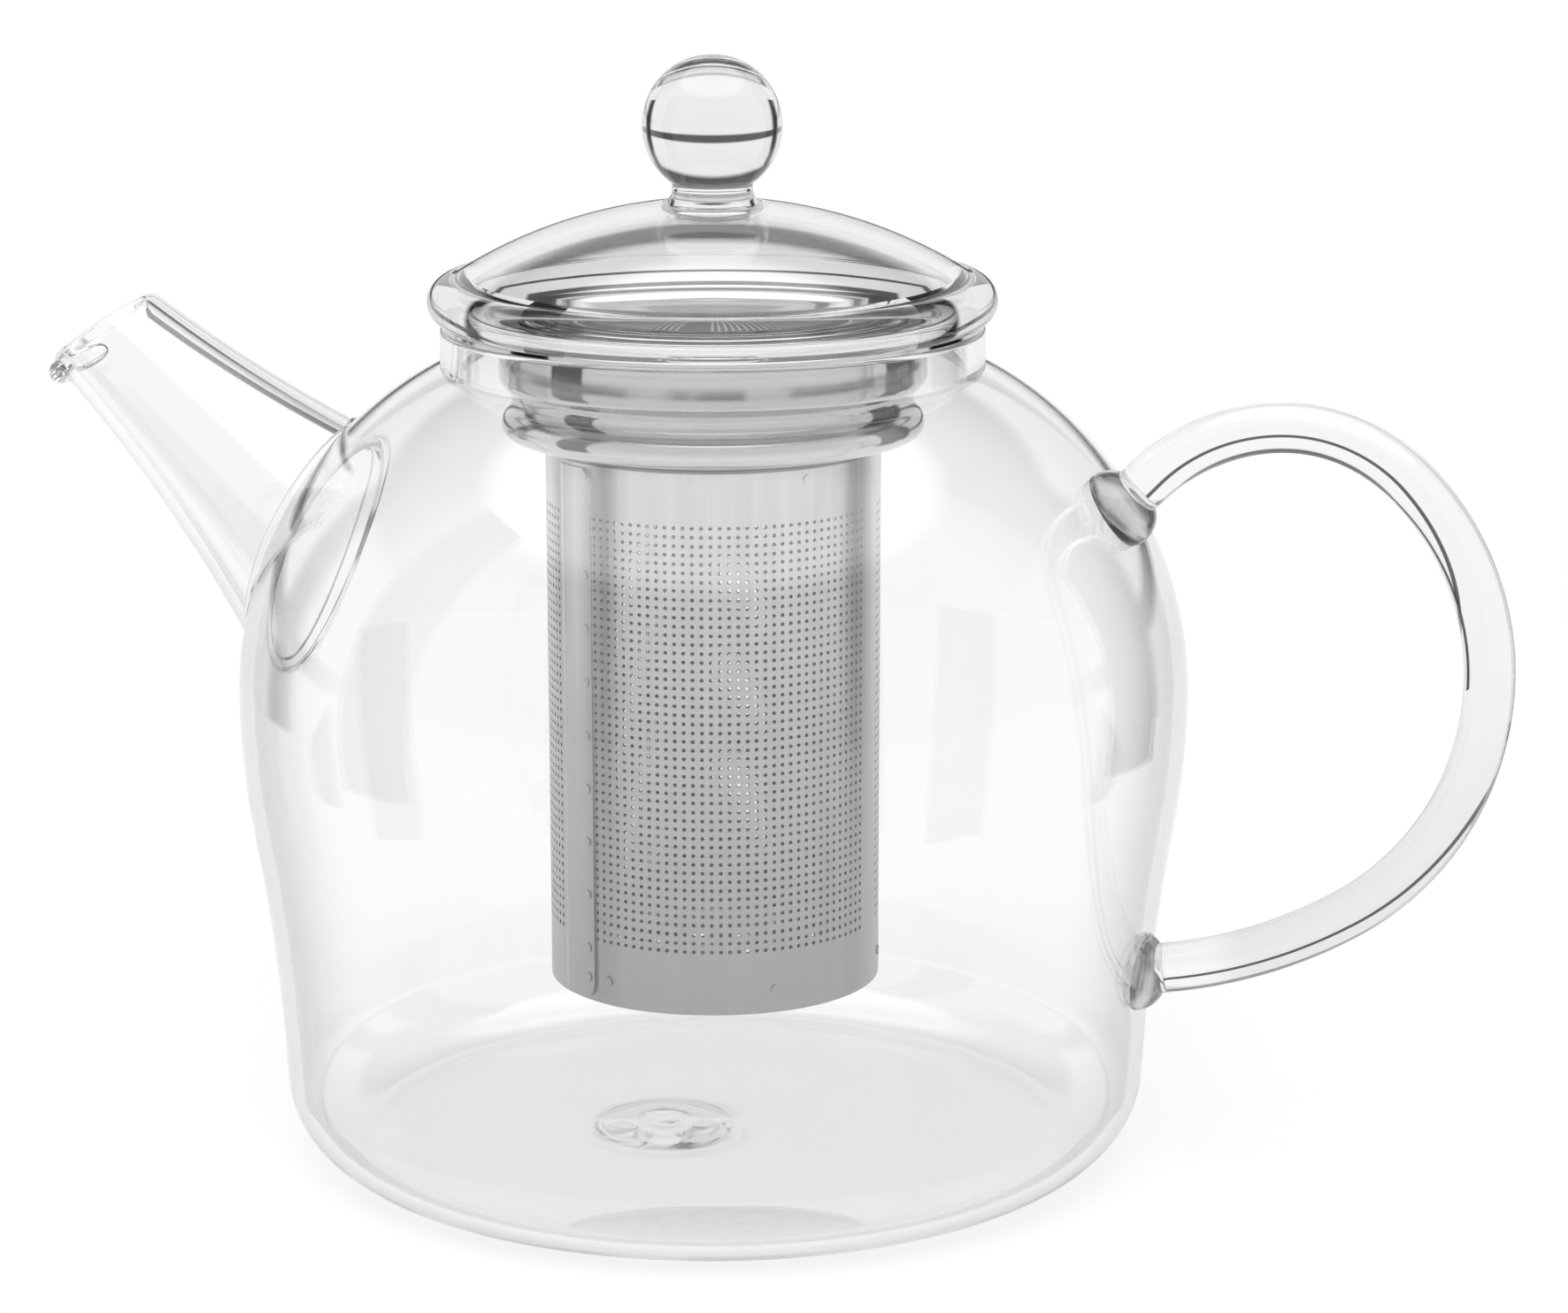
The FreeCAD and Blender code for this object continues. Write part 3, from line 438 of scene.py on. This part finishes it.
def flaredTube(name, inset, edge):  # edge lists (distance past the mouth, change of radius)
    spins, rings = spout["spins"], spout["rings"]
    verts, faces = [(0, 0, -spout["length"])], []
    rows = [(k / rings, edge[0][0], 0.0) for k in range(rings)]
    rows += [(1.0, past, change) for past, change in edge]
    for share, past, change in rows:
        for i in range(spins):
            angle = math.tau * i / spins
            mouth = -spout["mouthRadius"] * math.cos(angle) * math.tan(spout["tilt"])
            level = share * (spout["length"] + mouth + past) - spout["length"]
            radius = flareRadius(-level) - inset + change
            verts.append((radius * math.cos(angle), radius * math.sin(angle), level))
    top = len(verts)
    verts.append((0, 0, edge[-1][0]))
    for k in range(len(rows) - 1):
        low, high = 1 + k * spins, 1 + (k + 1) * spins
        faces += [(low + i, low + (i + 1) % spins, high + (i + 1) % spins, high + i) for i in range(spins)]
    last = 1 + (len(rows) - 1) * spins
    for i in range(spins):
        faces.append((0, 1 + (i + 1) % spins, 1 + i))
        faces.append((top, last + i, last + (i + 1) % spins))
    return meshPiece(name, verts, faces, spoutPlace)


def quarterRound(radius, inward, steps=6):  # rounding of the fire-polished mouth
    made = []
    for k in range(steps + 1):
        angle = math.pi / 2 * k / steps
        made.append((-radius * (1 - math.sin(angle)), inward * radius * (1 - math.cos(angle))))
    return made


spoutSolid = flaredTube("spoutSolid", 0.0, quarterRound(spout["mouthRound"], -1))
spoutBore = flaredTube("spoutBore", spout["wall"],
                       quarterRound(spout["mouthRound"], 1) + [(pot["spare"], spout["mouthRound"])])

# drip lip, a bead under the lower edge of the mouth that fades into the wall at both ends
lipWay, lipRadii = [], []
lipSteps = spout["lipSteps"]
lipReach = spout["mouthRadius"] / math.cos(spout["tilt"]) - spout["wall"] / 2 + spout["lipRadius"] / 2
tiltTurn = Matrix.Rotation(spout["tilt"], 4, "Y")
for k in range(lipSteps + 1):
    share = 2 * k / lipSteps - 1
    angle = math.pi + share * spout["lipSweep"] / 2
    point = tiltTurn @ Vector((lipReach * math.cos(angle), lipReach * math.sin(angle), -spout["lipSetback"]))
    lipWay.append(spoutPlace @ (point * mm) / mm)
    swell = math.sqrt(max(1 - share ** 4, 0))
    lipRadii.append(spout["lipEnd"] + (spout["lipRadius"] - spout["lipEnd"]) * swell)
dripLip = swept("dripLip", lipWay, lipRadii, spout["lipSides"])

# bead of glass along the line where spout and body meet
axisOut = Vector((-math.cos(spout["rise"]), 0, math.sin(spout["rise"])))
axisUp = Vector((math.sin(spout["rise"]), 0, math.cos(spout["rise"])))
mouthCentre = Vector((-(pot["bellyRadius"] + spout["overhang"]), 0, rimHeight - spout["mouthDrop"]))


def spoutPoint(angle, back):
    around = axisUp * math.cos(angle) + Vector((0, 1, 0)) * math.sin(angle)
    return mouthCentre - axisOut * back + flareRadius(back) * around


beadWay = []
for k in range(spout["beadSteps"]):
    angle = math.tau * k / spout["beadSteps"]
    near, far = spout["beadFrom"], spout["length"]
    for _ in range(spout["beadHalvings"]):
        middle = (near + far) / 2
        point = spoutPoint(angle, middle)
        if math.hypot(point.x, point.y) > wallRadius(point.z):
            near = middle
        else:
            far = middle
    beadWay.append(spoutPoint(angle, near))
beadRadii = [spout["beadRadius"]] * len(beadWay)
jointBead = swept("jointBead", beadWay, beadRadii, spout["beadSides"], closed=True)

handle = {
    "rodRadius": 3.9, "crownOverhang": 17.2, "crownRise": 46.9, "gripOverhang": 48.2, "gripRise": 10.0,
    "rootBend": 31.0, "rootTurn": math.radians(45), "kneeBend": 45.8, "kneeTurn": math.radians(57),
    "tailBend": 77.5, "tailTurn": math.radians(27), "spare": 8.0,
    "gobRadius": 6.4, "gobHalf": 5.2, "gobLift": 0.6, "gobRings": 32, "gobSpins": 64,
    "sides": 56, "arcStep": 2.0, "longest": 2.5,
}
crown = (pot["bellyRadius"] + handle["crownOverhang"], pot["bellyHeight"] + handle["crownRise"])
grip = (pot["bellyRadius"] + handle["gripOverhang"], pot["bellyHeight"] + handle["gripRise"])
diagonal = math.sin(math.pi / 4)  # crown and grip arcs turn by 45 degrees each
crownRun, crownClimb = grip[0] - crown[0], crown[1] - grip[1]
crownBend = (diagonal * crownRun - (1 - diagonal) * crownClimb) / (2 * diagonal - 1)
gripBend = (diagonal * crownClimb - (1 - diagonal) * crownRun) / (2 * diagonal - 1)
turnIn, kneeTurn = handle["rootTurn"], handle["kneeTurn"]
tailAngle = kneeTurn + handle["tailTurn"]
rootEnd = (crown[0] - handle["rootBend"] * math.sin(turnIn),
           crown[1] - handle["rootBend"] * (1 - math.cos(turnIn)))
rootOut, rootUp = rootEnd[0] - shoulderCentre, rootEnd[1] - pot["bellyHeight"]
rootAlong = rootOut * math.cos(turnIn) + rootUp * math.sin(turnIn)
rootRun = rootAlong - math.sqrt(pot["shoulderRadius"] ** 2 - (rootOut ** 2 + rootUp ** 2 - rootAlong ** 2))
knee = (grip[0] - handle["kneeBend"] * (1 - math.cos(kneeTurn)),
        grip[1] - handle["kneeBend"] * math.sin(kneeTurn))
tail = (knee[0] - handle["tailBend"] * (math.cos(kneeTurn) - math.cos(tailAngle)),
        knee[1] - handle["tailBend"] * (math.sin(tailAngle) - math.sin(kneeTurn)))
tailRun = (tail[0] - heelReach) / math.sin(tailAngle)


def alongRoot(run):
    return rootEnd[0] - run * math.cos(turnIn), rootEnd[1] - run * math.sin(turnIn)


def alongTail(run):
    return tail[0] - run * math.sin(tailAngle), tail[1] - run * math.cos(tailAngle)


rodStops = [
    (*alongTail(tailRun + handle["spare"]),), (*tail, handle["tailBend"], "left"),
    (*knee, handle["kneeBend"], "left"), (*grip, gripBend, "left"),
    (crown[0] + crownBend * diagonal, crown[1] - crownBend * (1 - diagonal), crownBend, "left"),
    (*crown, handle["rootBend"], "left"), (*rootEnd,), (*alongRoot(rootRun + handle["spare"]),),
]
rodWay = finer(trace(rodStops, handle["arcStep"]), handle["longest"])
closing = rodWay.index(min(rodWay, key=lambda p: math.dist(p, rodStops[-1][:2])))
rodWay = [(x, 0, z) for x, z in rodWay[:closing + 1]]
rod = swept("rod", rodWay, [handle["rodRadius"]] * len(rodWay), handle["sides"])


def gob(name, place, slope):  # glass run out round the end of the rod, a squashed drop
    section = []
    for k in range(handle["gobRings"] + 1):
        angle = math.pi * (k / handle["gobRings"] - 0.5)
        section.append((handle["gobRadius"] * math.cos(angle),
                        handle["gobLift"] + handle["gobHalf"] * math.sin(angle)))
    lean = Matrix.Translation(Vector((place[0], 0, place[1])) * mm) @ Matrix.Rotation(slope, 4, "Y")
    return turned(name, section, handle["gobSpins"], lean)


topGob = gob("topGob", alongRoot(rootRun), math.pi / 2 - turnIn)
bottomGob = gob("bottomGob", alongTail(tailRun), tailAngle)
for part in (spoutSolid, jointBead, dripLip, rod, topGob, bottomGob):
    melt(glassPot, part)
melt(glassPot, cavity, "DIFFERENCE")
melt(glassPot, spoutBore, "DIFFERENCE")
glassPot.data.shade_smooth()
glassPot.data.set_sharp_from_angle(angle=math.radians(pot["sharp"]))
dress(glassPot, "vessel", "clear_glass", glass,
      "vessel_body", "spout", "spout_weld", "handle", "handle_top_weld", "handle_bottom_weld")
print("glass pot melted:", len(glassPot.data.polygons), "faces")


# steel collar, sleeve and floor of the infuser

collar = {
    "sheet": 0.5, "flangeInset": 0.4, "gap": 6.2, "round": 2.0, "depth": 7.0, "waistInset": 2.3,
    "waistDrop": 4.5, "bulgeOut": 1.7, "bulgeDrop": 4.0, "bulgeRound": 2.2, "coneAngle": math.radians(78),
    "throatRound": 0.6, "throatLength": 6.0, "weldGap": 0.05,
    "arcStep": 6.0, "longest": 2.0, "spins": 192, "sharp": 50,
}
sleeve = {
    "step": 6.7, "sheet": 0.4, "length": 85.2, "lapEdge": -116.2, "lapTurn": 14.6, "lapRamp": 3.2,
    "columns": 35, "rows": 49, "fields": 3, "columnTurn": 3.07, "firstColumn": 1.0,
    "topMargin": 8.3, "bottomMargin": 10.2, "holeRadius": 0.33, "blankSteps": 6,
    "flapMargin": 0.6, "flapCorner": 2.0, "flapColumns": 24,
}
collarRadius = neckInside - collar["gap"]
collarFoot = rimHeight - collar["depth"]
waistRadius, waistHeight = collarRadius - collar["waistInset"], collarFoot - collar["waistDrop"]
bulgeRadius, bulgeHeight = waistRadius + collar["bulgeOut"], waistHeight - collar["bulgeDrop"]
sleeveRadius = bulgeRadius - sleeve["step"]
fittedRadius = sleeveRadius - sleeve["sheet"] - collar["weldGap"]
footWave = (collar["waistDrop"] ** 2 + collar["waistInset"] ** 2) / (4 * collar["waistInset"])
waistWave = (collar["bulgeDrop"] ** 2 + collar["bulgeOut"] ** 2) / (4 * collar["bulgeOut"])
coneCos, coneSin = math.cos(collar["coneAngle"]), math.sin(collar["coneAngle"])
coneTop = bulgeRadius - collar["bulgeRound"] * (1 - coneCos)
coneFoot = fittedRadius + collar["throatRound"] * (1 - coneCos)
throatTop = (bulgeHeight - (collar["bulgeRound"] + collar["throatRound"]) * coneSin
             - (coneTop - coneFoot) * coneCos / coneSin)


def collarStops(inward):  # one face of the sheet from flange to throat
    footCentre, waistCentre = collarRadius - footWave, waistRadius + waistWave
    footShare, waistShare = (footWave - inward) / footWave, (waistWave + inward) / waistWave
    bulge, throat = collar["bulgeRound"] - inward, collar["throatRound"] + inward
    return [
        (pot["neckRadius"] - collar["flangeInset"], rimHeight + inward),
        (collarRadius + collar["round"], rimHeight + inward, collar["round"] + inward, "left"),
        (collarRadius - inward, rimHeight - collar["round"]),
        (collarRadius - inward, collarFoot, footWave - inward, "right"),
        (footCentre + ((collarRadius + waistRadius) / 2 - footCentre) * footShare,
         collarFoot + (waistHeight - collarFoot) / 2 * footShare, footWave + inward, "left"),
        (waistRadius - inward, waistHeight, waistWave + inward, "left"),
        (waistCentre + ((waistRadius + bulgeRadius) / 2 - waistCentre) * waistShare,
         waistHeight + (bulgeHeight - waistHeight) / 2 * waistShare, waistWave - inward, "right"),
        (bulgeRadius - inward, bulgeHeight, bulge, "right"),
        (bulgeRadius - collar["bulgeRound"] + bulge * coneCos, bulgeHeight - bulge * coneSin),
        (fittedRadius + collar["throatRound"] - throat * coneCos,
         throatTop + throat * coneSin, throat, "left"),
        (fittedRadius - inward, throatTop),
        (fittedRadius - inward, throatTop - collar["throatLength"]),
    ]


collarSection = trace(collarStops(0) + backwards(collarStops(collar["sheet"])), collar["arcStep"])
steelCollar = turned("steelCollar", finer(collarSection, collar["longest"]), collar["spins"],
                     smooth=collar["sharp"])
dress(steelCollar, "infuser", "brushed_steel", collarSteel, "infuser_collar")


def perforatedSleeve():  # a sheet of small cells, each with a punched hole through it
    low, high = throatTop - sleeve["length"], throatTop
    fieldTurn = 360 / sleeve["fields"]
    halfColumn = sleeve["columnTurn"] / 2
    angles, columnStarts = [], []
    for field in range(sleeve["fields"]):
        first = sleeve["lapEdge"] + sleeve["firstColumn"] - halfColumn + field * fieldTurn
        for k in range(2 * sleeve["columns"]):
            if k % 2 == 0:
                columnStarts.append(len(angles))
            angles.append(first + k * halfColumn)
        end = first + 2 * sleeve["columns"] * halfColumn
        blank = fieldTurn - 2 * sleeve["columns"] * halfColumn
        angles += [end + blank * k / sleeve["blankSteps"] for k in range(sleeve["blankSteps"])]
    rowFoot, rowTop = low + sleeve["bottomMargin"], high - sleeve["topMargin"]
    rowStep = (rowTop - rowFoot) / (sleeve["rows"] - 1)
    heights = [low, (low + rowFoot) / 2]
    rowStarts = [len(heights) + 2 * k for k in range(sleeve["rows"])]
    heights += [rowFoot + (k - 1) * rowStep / 2 for k in range(2 * sleeve["rows"] + 1)]
    heights += [(rowTop + high) / 2, high]
    around, tall = len(angles), len(heights)
    outer, inner = sleeveRadius, sleeveRadius - sleeve["sheet"]

    def bent(radius, angle, height):
        return radius * math.cos(math.radians(angle)), radius * math.sin(math.radians(angle)), height

    verts = [bent(radius, a, z) for radius in (outer, inner) for z in heights for a in angles]
    faces = []

    def at(face, i, k):
        return face * around * tall + k * around + i % around

    punched = set()
    for i in columnStarts:
        for k in rowStarts:
            punched.update(((i, k), (i + 1, k), (i, k + 1), (i + 1, k + 1)))
            ring = [(i + 2, k + 1), (i + 2, k + 2), (i + 1, k + 2), (i, k + 2),
                    (i, k + 1), (i, k), (i + 1, k), (i + 2, k)]
            sides = len(ring)
            turn = math.degrees(sleeve["holeRadius"] / outer)
            holes = []
            for radius in (outer, inner):
                holes.append(len(verts))
                for n in range(sides):
                    spin = math.tau * n / sides
                    verts.append(bent(radius, angles[i + 1] + turn * math.cos(spin),
                                      heights[k + 1] + sleeve["holeRadius"] * math.sin(spin)))
            for n in range(sides):
                m = (n + 1) % sides
                faces.append((at(0, *ring[n]), at(0, *ring[m]), holes[0] + m, holes[0] + n))
                faces.append((at(1, *ring[m]), at(1, *ring[n]), holes[1] + n, holes[1] + m))
                faces.append((holes[0] + n, holes[0] + m, holes[1] + m, holes[1] + n))
    for k in range(tall - 1):
        for i in range(around):
            if (i, k) not in punched:
                faces.append((at(0, i, k), at(0, i + 1, k), at(0, i + 1, k + 1), at(0, i, k + 1)))
                faces.append((at(1, i, k + 1), at(1, i + 1, k + 1), at(1, i + 1, k), at(1, i, k)))
    for i in range(around):
        faces.append((at(0, i, 0), at(1, i, 0), at(1, i + 1, 0), at(0, i + 1, 0)))
        top = tall - 1
        faces.append((at(0, i, top), at(0, i + 1, top), at(1, i + 1, top), at(1, i, top)))
    return meshPiece("perforatedSleeve", verts, faces)


def seamFlap():  # the lapped end of the sheet, with rounded corners on its free edge
    low, high = throatTop - sleeve["length"] + sleeve["flapMargin"], throatTop - sleeve["flapMargin"]
    start = sleeve["lapEdge"] - sleeve["lapTurn"] - sleeve["lapRamp"]
    corner = sleeve["flapCorner"]
    outer, inner = sleeveRadius + sleeve["sheet"], sleeveRadius - sleeve["sheet"] / 2
    columns = sleeve["flapColumns"]
    verts, faces = [], []
    for k in range(columns + 1):
        angle = start + (sleeve["lapEdge"] - start) * k / columns
        left = math.radians(sleeve["lapEdge"] - angle) * outer
        inset = corner - math.sqrt(max(corner ** 2 - max(corner - left, 0) ** 2, 0))
        ramp = min(1, (angle - start) / sleeve["lapRamp"])
        lift = inner + (outer - inner) * (0.5 + 0.5 * ramp)
        foot, top = low + inset, high - inset
        for radius, z in ((inner, foot), (lift, foot), (lift, top), (inner, top)):
            verts.append((radius * math.cos(math.radians(angle)), radius * math.sin(math.radians(angle)), z))
    for k in range(columns):
        faces += [(4 * k + n, 4 * k + (n + 1) % 4, 4 * k + 4 + (n + 1) % 4, 4 * k + 4 + n) for n in range(4)]
    faces += [(0, 1, 2, 3), tuple(4 * columns + n for n in range(4))]
    return meshPiece("seamFlap", verts, faces)


dress(perforatedSleeve(), "infuser", "brushed_steel", sleeveSteel, "infuser_sleeve")
dress(seamFlap(), "infuser", "brushed_steel", sleeveSteel)
for name in ("infuser_floor", "collar_spot_welds", "seam_spot_welds", "floor_spot_welds"):
    nodes[name].data.materials.clear()
    nodes[name].data.materials.append(sleeveSteel)
print("infuser made")


# glass lid with its ball knob, one turned piece

lid = {
    "overhang": 1.9, "roll": 3.5, "rise": 11.9, "wall": 2.6, "ground": 0.2,
    "knobRadius": 10.9, "knobNeck": 6.35, "knobLift": 11.6, "knobFillet": 2.0,
    "rootRadius": 7.0, "rootDepth": 1.6, "arcStep": 2.0, "longest": 2.0, "spins": 256, "sharp": 55,
}
lidRadius = pot["neckRadius"] + lid["overhang"]
seat = rimHeight + collar["sheet"]
rollReach, rollHeight = lidRadius - lid["roll"], seat + lid["roll"] - lid["ground"]
rollTop, rollInside = rollHeight + lid["roll"], lidRadius - 2 * lid["roll"]
domeCurve = (rollReach ** 2 + lid["rise"] ** 2) / (2 * lid["rise"])
domeTop = rollTop + lid["rise"]
domeCentre = domeTop - domeCurve
underCurve = domeCurve - lid["wall"]
groundHalf = math.sqrt(2 * lid["roll"] * lid["ground"] - lid["ground"] ** 2)


def domeHeight(curve, reach):
    return domeCentre + math.sqrt(curve ** 2 - reach ** 2)


rootEdge = domeHeight(underCurve, lid["rootRadius"])
rootDrop = rootEdge - (domeCentre + underCurve - lid["rootDepth"])
rootCurve = (lid["rootRadius"] ** 2 + rootDrop ** 2) / (2 * rootDrop)
knobCentre = domeTop + lid["knobLift"]
knobBase = lid["knobNeck"] + lid["knobFillet"]
knobFoot = domeHeight(domeCurve, knobBase)
neckTop = knobCentre - math.sqrt(lid["knobRadius"] ** 2 - lid["knobNeck"] ** 2)
lidStops = [
    (knobBase, knobFoot, domeCurve, "right"),
    (rollReach, rollTop, lid["roll"], "right"),
    (lidRadius, rollHeight, lid["roll"], "right"),
    (rollReach + groundHalf, seat),
    (rollReach - groundHalf, seat, lid["roll"], "right"),
    (rollInside, rollHeight),
    (rollInside, domeHeight(underCurve, rollInside), underCurve, "left"),
    (lid["rootRadius"], rootEdge, rootCurve, "right"),
    (0, rootEdge - rootDrop),
    (0, knobCentre + lid["knobRadius"], lid["knobRadius"], "right"),
    (lid["knobRadius"], knobCentre, lid["knobRadius"], "right"),
    (lid["knobNeck"], neckTop),
    (lid["knobNeck"], knobFoot + lid["knobFillet"], lid["knobFillet"], "left"),
]
lidSection = finer(trace(lidStops, lid["arcStep"]), lid["longest"])
glassLid = turned("glassLid", lidSection, lid["spins"], smooth=lid["sharp"])
dress(glassLid, "lid", "clear_glass", glass, "lid_cover", "lid_knob")
print("lid made")


# studio: camera, floor, lamps and surroundings

studio = {
    "cameraPlace": (0.22895, -0.66872, 0.24782), "pitch": 13.367, "heading": 18.0,
    "lens": 105.0, "sensor": 36.0, "clip": (0.01, 20), "bounces": 24, "mirrorBounces": 12,
    "floorSize": 0.4, "floorSides": 96, "floorGlow": 0.84, "floorDrop": 0.0001,
    "floorTone": (0.9, 0.9, 0.9, 1),
    "flags": (-77.0, 108.0), "flagFar": 0.28, "flagWide": 0.1, "flagTall": 0.42, "flagFoot": 0.002,
    "flagTone": (0.01, 0.01, 0.01, 1),
    "stripPlace": 127.0, "stripWidth": 6.0, "stripSoft": 3.0, "stripDark": 0.0,
    "stripHigh": 0.62, "stripFade": 0.1,
    "sideFrom": 85.0, "sideTo": 120.0, "gapLow": 0.45, "gapHigh": 0.78, "gapSoft": 0.05, "gapDark": 0.08,
    "lineLow": -0.03, "lineHigh": 0.045, "lineSoft": 0.012,
    "roomFrom": 60.0, "roomTo": 140.0, "frontGlow": 0.74, "backGlow": 1.0, "paleTop": 0.25, "paleFoot": -0.05,
    "ceilingGlow": 1.8, "diffuseGlow": 1.0,
    "boxPlace": (0.1, -0.6, 0.85), "boxSize": 0.6, "boxPower": 7.0, "boxAim": (0, 0, 0.08),
}
lens = bpy.data.cameras.new("camera")
lens.lens = studio["lens"]
lens.sensor_width = studio["sensor"]
lens.clip_start, lens.clip_end = studio["clip"]
camera = bpy.data.objects.new("camera", lens)
camera.location = studio["cameraPlace"]
camera.rotation_euler = (math.radians(90 - studio["pitch"]), 0, math.radians(studio["heading"]))
bpy.context.scene.collection.objects.link(camera)
bpy.context.scene.camera = camera

floorSides = studio["floorSides"]
floorVerts = [(0, 0, 0)] + [(math.cos(math.tau * k / floorSides), math.sin(math.tau * k / floorSides), 0)
                            for k in range(floorSides)]
floorMesh = bpy.data.meshes.new("floor")
floorMesh.from_pydata([tuple(c * studio["floorSize"] for c in v) for v in floorVerts], [],
                      [(0, 1 + k, 1 + (k + 1) % floorSides) for k in range(floorSides)])
floor = bpy.data.objects.new("floor", floorMesh)
floor.location.z = cadBox[0].z - studio["floorDrop"]
bpy.context.scene.collection.objects.link(floor)

paleFloor, wire = newFinish("paleFloor")
path = wire.node("LightPath", out="Is Camera Ray")
seen = wire.sum("MAXIMUM", path.pick("Is Glossy Ray"), path.pick("Is Transmission Ray"))
seen = wire.sum("MAXIMUM", path, seen)
matte = wire.node("BsdfDiffuse", None, {"Color": studio["floorTone"]})
glow = wire.node("Emission", None, {"Color": (1, 1, 1, 1), "Strength": 1.0})
mixed = wire.node("MixShader", None, {0: seen * studio["floorGlow"], 1: matte, 2: glow})
wire.node("OutputMaterial", None, {"Surface": mixed})
floorMesh.materials.append(paleFloor)

# dark upright cards beside the pot, there only for light that was mirrored on its way
darkCard, wire = newFinish("darkCard")
dark = wire.node("MixShader", None, {
    0: wire.node("LightPath", out="Glossy Depth"), 1: wire.node("BsdfTransparent"),
    2: wire.node("BsdfDiffuse", None, {"Color": studio["flagTone"]})})
wire.node("OutputMaterial", None, {"Surface": dark})
for k, bearing in enumerate(studio["flags"]):
    turn = math.radians(studio["heading"] + bearing)
    out, across = Vector((math.sin(turn), -math.cos(turn), 0)), Vector((math.cos(turn), math.sin(turn), 0))
    corners = [out * studio["flagFar"] + across * studio["flagWide"] / 2 * end + Vector((0, 0, z))
               for end, z in ((-1, studio["flagFoot"]), (1, studio["flagFoot"]),
                              (1, studio["flagTall"]), (-1, studio["flagTall"]))]
    flagMesh = bpy.data.meshes.new("flag%d" % k)
    flagMesh.from_pydata([tuple(c) for c in corners], [], [(0, 1, 2, 3)])
    flagMesh.materials.append(darkCard)
    flag = bpy.data.objects.new("flag%d" % k, flagMesh)
    flag.visible_camera = flag.visible_diffuse = flag.visible_shadow = False
    bpy.context.scene.collection.objects.link(flag)

world = bpy.data.worlds.new("studio")
bpy.context.scene.world = world
world.use_nodes = True
world.node_tree.nodes.clear()
wire = Wire(world.node_tree)
way = wire.node("SeparateXYZ", None, {0: wire.node("TexCoord", out="Generated")})
bearing = wire.sum("ARCTAN2", way, way.pick("Y") * -1.0) * (180 / math.pi)  # degrees round from the front


def awayFrom(place):  # degrees between the way and a bearing
    apart = wire.node("Math", {"operation": "WRAP"}, {0: bearing - place, 1: 180.0, 2: -180.0})
    return wire.node("Math", {"operation": "ABSOLUTE"}, {0: apart})


def strip(place):  # mask of a dark upright strip far behind the pot
    wide = studio["stripWidth"]
    return awayFrom(place).between(wide + studio["stripSoft"], wide - studio["stripSoft"])


front = studio["heading"]
height = way.pick("Z")
strips = strip(front + studio["stripPlace"]) + strip(front - studio["stripPlace"])
strips = strips * height.between(studio["stripHigh"] + studio["stripFade"], studio["stripHigh"])
gap = height.between(studio["gapLow"] - studio["gapSoft"], studio["gapLow"] + studio["gapSoft"])
behind = awayFrom(front).between(studio["sideFrom"], studio["sideTo"])
lineSoft = studio["lineSoft"]
horizon = height.between(studio["lineLow"] - lineSoft, studio["lineLow"] + lineSoft)
horizon = horizon * height.between(studio["lineHigh"] + lineSoft, studio["lineHigh"] - lineSoft)
gap = (gap + horizon) * behind
ceiling = height.between(studio["gapHigh"] - studio["gapSoft"], studio["gapHigh"] + studio["gapSoft"])
room = awayFrom(front).between(studio["roomFrom"], studio["roomTo"], studio["frontGlow"], studio["backGlow"])
room = wire.sum("MAXIMUM", room, height.between(studio["paleTop"], studio["paleFoot"]))
room = room * (1 - strips * (1 - studio["stripDark"])) * (1 - gap * (1 - studio["gapDark"]))
room = room + ceiling * studio["ceilingGlow"]
path = wire.node("LightPath", out="Is Camera Ray")
specular = wire.sum("MAXIMUM", path.pick("Is Glossy Ray"), path.pick("Is Transmission Ray"))
light = path + (1 - path) * (specular * room + (1 - specular) * studio["diffuseGlow"])
sky = wire.node("Background", None, {"Color": (1, 1, 1, 1), "Strength": light})
wire.node("OutputWorld", None, {"Surface": sky})

lamp = bpy.data.lights.new("topBox", "AREA")  # soft light from above, itself not mirrored
lamp.shape = "RECTANGLE"
lamp.size = lamp.size_y = studio["boxSize"]
lamp.energy = studio["boxPower"]
topBox = bpy.data.objects.new("topBox", lamp)
topBox.location = studio["boxPlace"]
aim = Vector(studio["boxAim"]) - Vector(studio["boxPlace"])
topBox.rotation_euler = aim.to_track_quat("-Z", "Y").to_euler()
topBox.visible_glossy = topBox.visible_transmission = False
bpy.context.scene.collection.objects.link(topBox)

scene = bpy.context.scene
scene.view_settings.view_transform = "Standard"
scene.cycles.max_bounces = studio["bounces"]
scene.cycles.transmission_bounces = studio["bounces"]
scene.cycles.glossy_bounces = studio["mirrorBounces"]
print("studio set")
